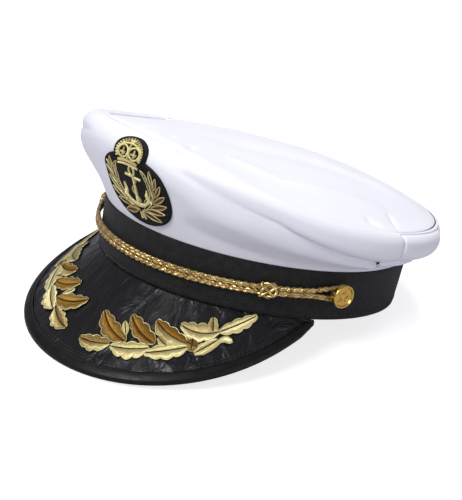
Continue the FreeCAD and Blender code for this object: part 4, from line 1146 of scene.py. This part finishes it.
def loop_path(side, lane):
    """Out along one lane, round the shank and back along the other lane."""
    start, end, out = loop_side(side)
    ahead = (end - start) / np.linalg.norm(end - start)
    reach = np.linalg.norm(end - start)
    flat = np.linspace(0, reach, 26)[1:]
    ease = np.clip((flat - 1.0) / (reach - 3.0), 0, 1)
    height = cord_lane + (loop_reach - cord_lane) * ease ** 1.4 * (2 - ease ** 0.6)
    height = np.minimum(height, loop_reach)
    go = start + np.outer(flat, ahead) + np.outer(height * math.copysign(1, lane), plane_up)
    turn = np.linspace(90, -90, 25)[1:-1]
    bend = end + loop_reach * (np.outer(np.cos(np.radians(turn)), ahead)
                               + np.outer(np.sin(np.radians(turn)) * math.copysign(1, lane), plane_up))
    back = start + np.outer(flat[::-1], ahead) - np.outer(height[::-1] * math.copysign(1, lane), plane_up)
    path = np.concatenate([go, bend, back])
    return path, np.tile(out, (len(path), 1))


def cord_path(side, lane):
    """Whole path of one cord and its outward directions, from the far knot to the near one."""
    run = np.linspace(-side * knot_at, side * leave_at, 420)
    line, face = cord_guide(run)
    line = line + plane_up * lane
    loop, loop_face = loop_path(side, lane)
    back, back_face = cord_guide(np.linspace(side * leave_at, side * knot_at, 40))
    back = back - plane_up * lane
    path = np.concatenate([line, loop, back])
    face = np.concatenate([face, loop_face, back_face])
    steps = distances(path)
    even = np.arange(0, steps[-1], 0.5)
    path = np.stack([np.interp(even, steps, path[:, i]) for i in range(3)], 1)
    face = unit(np.stack([np.interp(even, steps, face[:, i]) for i in range(3)], 1))
    for _ in range(4):
        path[1:-1] = (path[:-2] + path[1:-1] * 2 + path[2:]) / 4
        face[1:-1] = unit(face[:-2] + face[1:-1] * 2 + face[2:])
    return path, face


# Plait: three flattened strands that cross over and under each other along the path
plait_tree, given, gives = new_tree(
    "Geometry", "plait", [("Geometry", "Geometry"), ("Repeat", "Float", 0.0126), ("Swing", "Float", 0.00088),
                          ("Depth", "Float", 0.00055), ("Strand radius", "Float", 0.0008), ("Thread", "Material")],
    [("Geometry", "Geometry")])
marked, run = marked_line(plait_tree, given)
phase = maths(plait_tree, "DIVIDE", run, given["Repeat"])
face = node(plait_tree, "GeometryNodeInputNamedAttribute", {"Name": "face"}, data_type="FLOAT_VECTOR").outputs[0]
tangent = node(plait_tree, "GeometryNodeInputTangent").outputs[0]
aside = maths(plait_tree, "CROSS_PRODUCT", tangent, face, kind="VectorMath")
strand_ring = marked_ring(plait_tree, 8, given["Strand radius"])
strands = node(plait_tree, "GeometryNodeJoinGeometry")
for strand in range(3):
    shifted = maths(plait_tree, "ADD", phase, strand / 3)
    once, twice = (maths(plait_tree, "SINE", maths(plait_tree, "MULTIPLY", shifted, math.tau * times))
                   for times in (1, 2))
    across = maths(plait_tree, "SCALE", aside, kind="VectorMath",
                   Scale=maths(plait_tree, "MULTIPLY", once, given["Swing"]))
    out = maths(plait_tree, "SCALE", face, kind="VectorMath",
                Scale=maths(plait_tree, "MULTIPLY", twice, given["Depth"]))
    moved = node(plait_tree, "GeometryNodeSetPosition",
                 {"Geometry": marked, "Offset": maths(plait_tree, "ADD", across, out, kind="VectorMath")})
    tube = node(plait_tree, "GeometryNodeCurveToMesh",
                {"Curve": moved.outputs[0], "Profile Curve": strand_ring, "Fill Caps": True})
    plait_tree.links.new(tube.outputs[0], strands.inputs[0])
hand_out(plait_tree, strands, given["Thread"], gives)

cord_gold = gold_finish("cord_gold", (0.11, 0.052, 0.008), (0.74, 0.54, 0.22), 0.30, 0.85, filaments=7)
for name, side in (("upper", 1), ("lower", -1)):
    path, face = cord_path(side, side * cord_lane)
    shade = 0.7 + 0.2 * np.sin(np.arange(len(path)) * 0.37)
    cord = path_object("chin_cord_%s_plait" % name, [path], face=face, shade=shade)
    grow(cord, plait_tree, thread=cord_gold)
    fit(cord, "chin_cord", "gold_cord", "chin_cord_%s" % name)


# ------------------------------------------------------------------ slide knots
# Each knot is a length of the same gold yarn wound four times round both cords as a
# Turk's head, tight enough to stay put and loose enough to be pushed along them.

knot_half_length, knot_wide, knot_high, knot_wave = 4.6, 2.9, 4.0, 0.42


def knot_path(side):
    (middle,), (out,) = cord_guide([side * knot_at])
    along = np.cross(out, plane_up)
    along = along / np.linalg.norm(along)
    out = np.cross(plane_up, along)
    t = np.linspace(0, math.tau, 481)
    leads, bights = 4, 5
    wave = knot_wave * np.sin(bights * (leads - 1) * t + 0.4)
    shrink = 1 - 0.14 * np.cos(bights * t) ** 2
    across = (knot_wide * shrink + wave) * np.cos(leads * t)
    rise = (knot_high * shrink + wave) * np.sin(leads * t)
    across = np.maximum(across, -1.4)
    points = (middle + np.outer(knot_half_length * np.cos(bights * t), along) + np.outer(across, out)
              + np.outer(rise, plane_up))
    return points


for name, side in (("left", 1), ("right", -1)):
    points = knot_path(side)
    shade = 0.72 + 0.2 * np.sin(np.arange(len(points)) * 0.2)
    knot = path_object(name + "_knot_yarn", [points], shade=shade)
    grow(knot, thread_tree, thread_radius=0.00092, sides=10, thread=cord_gold)
    fit(knot, name + "_knot", "gold_cord", name + "_slide_knot")


# ------------------------------------------------------------------ side buttons
# Stamped brass buttons with a raised rim and star. The shank goes through an eyelet in
# the band and a pin holds it behind, so the button turns and the cord swings on it.

brass = grained("brass", (0.86, 0.60, 0.20), 0.26, 420.0, 5.0, tint=((0.50, 0.30, 0.06), (0.72, 0.48, 0.13)),
                roughness=(0.35, 0.65, 0.20, 0.34), bump=(0.05, 0.0003), metallic=1.0)
for name in ("left", "right"):
    for part in ("shell", "back", "shank", "pin", "washer", "eyelet"):
        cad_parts["%s_button_%s" % (name, part)].material_slots[0].material = brass


# ------------------------------------------------------------------ inside
# Under the crown are a cotton lining and the stay that holds the front up. A leather-cloth
# sweatband is stitched in along the band's lower edge and closed by a tape at the back.

lining_cloth, _, _ = cloth_finish("lining_cloth", (0.55, 0.54, 0.50), (0.78, 0.77, 0.73), 0.8, 2.2, 0.0, 0.5)
lining_gap, lining_thickness = 2.6, 0.5


def lining_grid(angles):
    smooth = wall_points(angles, np.linspace(0.0625, 0.875, 40))
    normal = grid_normals(smooth, False)
    round_mm = np.radians(angles)[:, None] * 90
    loose = 0.5 * ripple(round_mm, 0 * smooth[..., 0], 21, 6.0) * np.sin(np.linspace(0, math.pi, 40))[None, :]
    return smooth - normal * (lining_gap + 0.3 + np.abs(loose))[..., None]


lining_front = panel("front_lining_cloth", lining_grid(front_angles[::2]), lining_thickness, lining_cloth)
lining_back = panel("back_lining_cloth", lining_grid(back_angles[::2]), lining_thickness, lining_cloth)
top_inset = crown_growths[-1][1] - crown_growths[-1][0] + lining_gap
lining_top_grid = top_grid(top_inset, 61)
lining_top_grid[..., 2] -= lining_gap + lining_thickness + 2.2
lining_top = panel("top_lining_cloth", lining_top_grid, lining_thickness, lining_cloth)
fit(lining_front, "cap", "lining_cloth", "front_lining")
fit(lining_back, "cap", "lining_cloth", "back_lining")
fit(lining_top, "cap", "lining_cloth", "top_lining")

leather = grained("sweatband_leather", (0.03, 0.027, 0.025), 0.5, 60.0, 4.0, roughness=(0.3, 0.7, 0.36, 0.6))
leather_tree = leather.node_tree
leather_place = node(leather_tree, "TexCoord").outputs["Object"]
pores = node(leather_tree, "TexVoronoi", {"Vector": leather_place, "Scale": 900.0}).outputs[0]
leather_relief = node(leather_tree, "Bump", {"Height": pores, "Strength": 0.4, "Distance": 0.0003})
leather_tree.links.new(leather_relief.outputs[0], leather_tree.nodes["Principled BSDF"].inputs["Normal"])
sweat_near = 5.0
sweat_heights = np.linspace(0.8, band_height - 0.1, 15)
sweat_grid = band_point(band_angles[:, None], sweat_heights[None, :], -sweat_near)
sweatband = panel("sweatband_strip", sweat_grid, 1.0, leather, ring=True)
fit(sweatband, "cap", "sweatband", "sweatband")
sweat_stitches = path_object("sweatband_stitches", [band_point(edge_angles, 3.4, -sweat_near - 1.05),
                                                    band_point(edge_angles, 28.6, -sweat_near - 1.05)])
grow(sweat_stitches, stitch_tree, pitch=0.0034, length=0.0026, thread_radius=0.00022, thread=white_thread)
fit(sweat_stitches, "cap", "sweatband")

tape_cloth, _, _ = cloth_finish("tape_cloth", (0.01, 0.01, 0.011), (0.04, 0.04, 0.043), 0.7, 1.4, 1.0, 0.8)
tape_angles = np.linspace(180 - 3.85, 180 + 3.85, 15)
tape_grid = band_point(tape_angles[:, None], sweat_heights[None, :], -6.1)
back_tape = panel("back_tape_cloth", tape_grid, 0.6, tape_cloth)
fit(back_tape, "cap", "tape", "sweatband_back_tape")

board = grained("stay_board", (0.5, 0.45, 0.36), 0.85, 500.0, 6.0, tint=((0.36, 0.31, 0.24), (0.62, 0.57, 0.47)))
for name in ("band_stiffener", "front_stay", "visor_board", "visor_flange"):
    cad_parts[name].material_slots[0].material = board
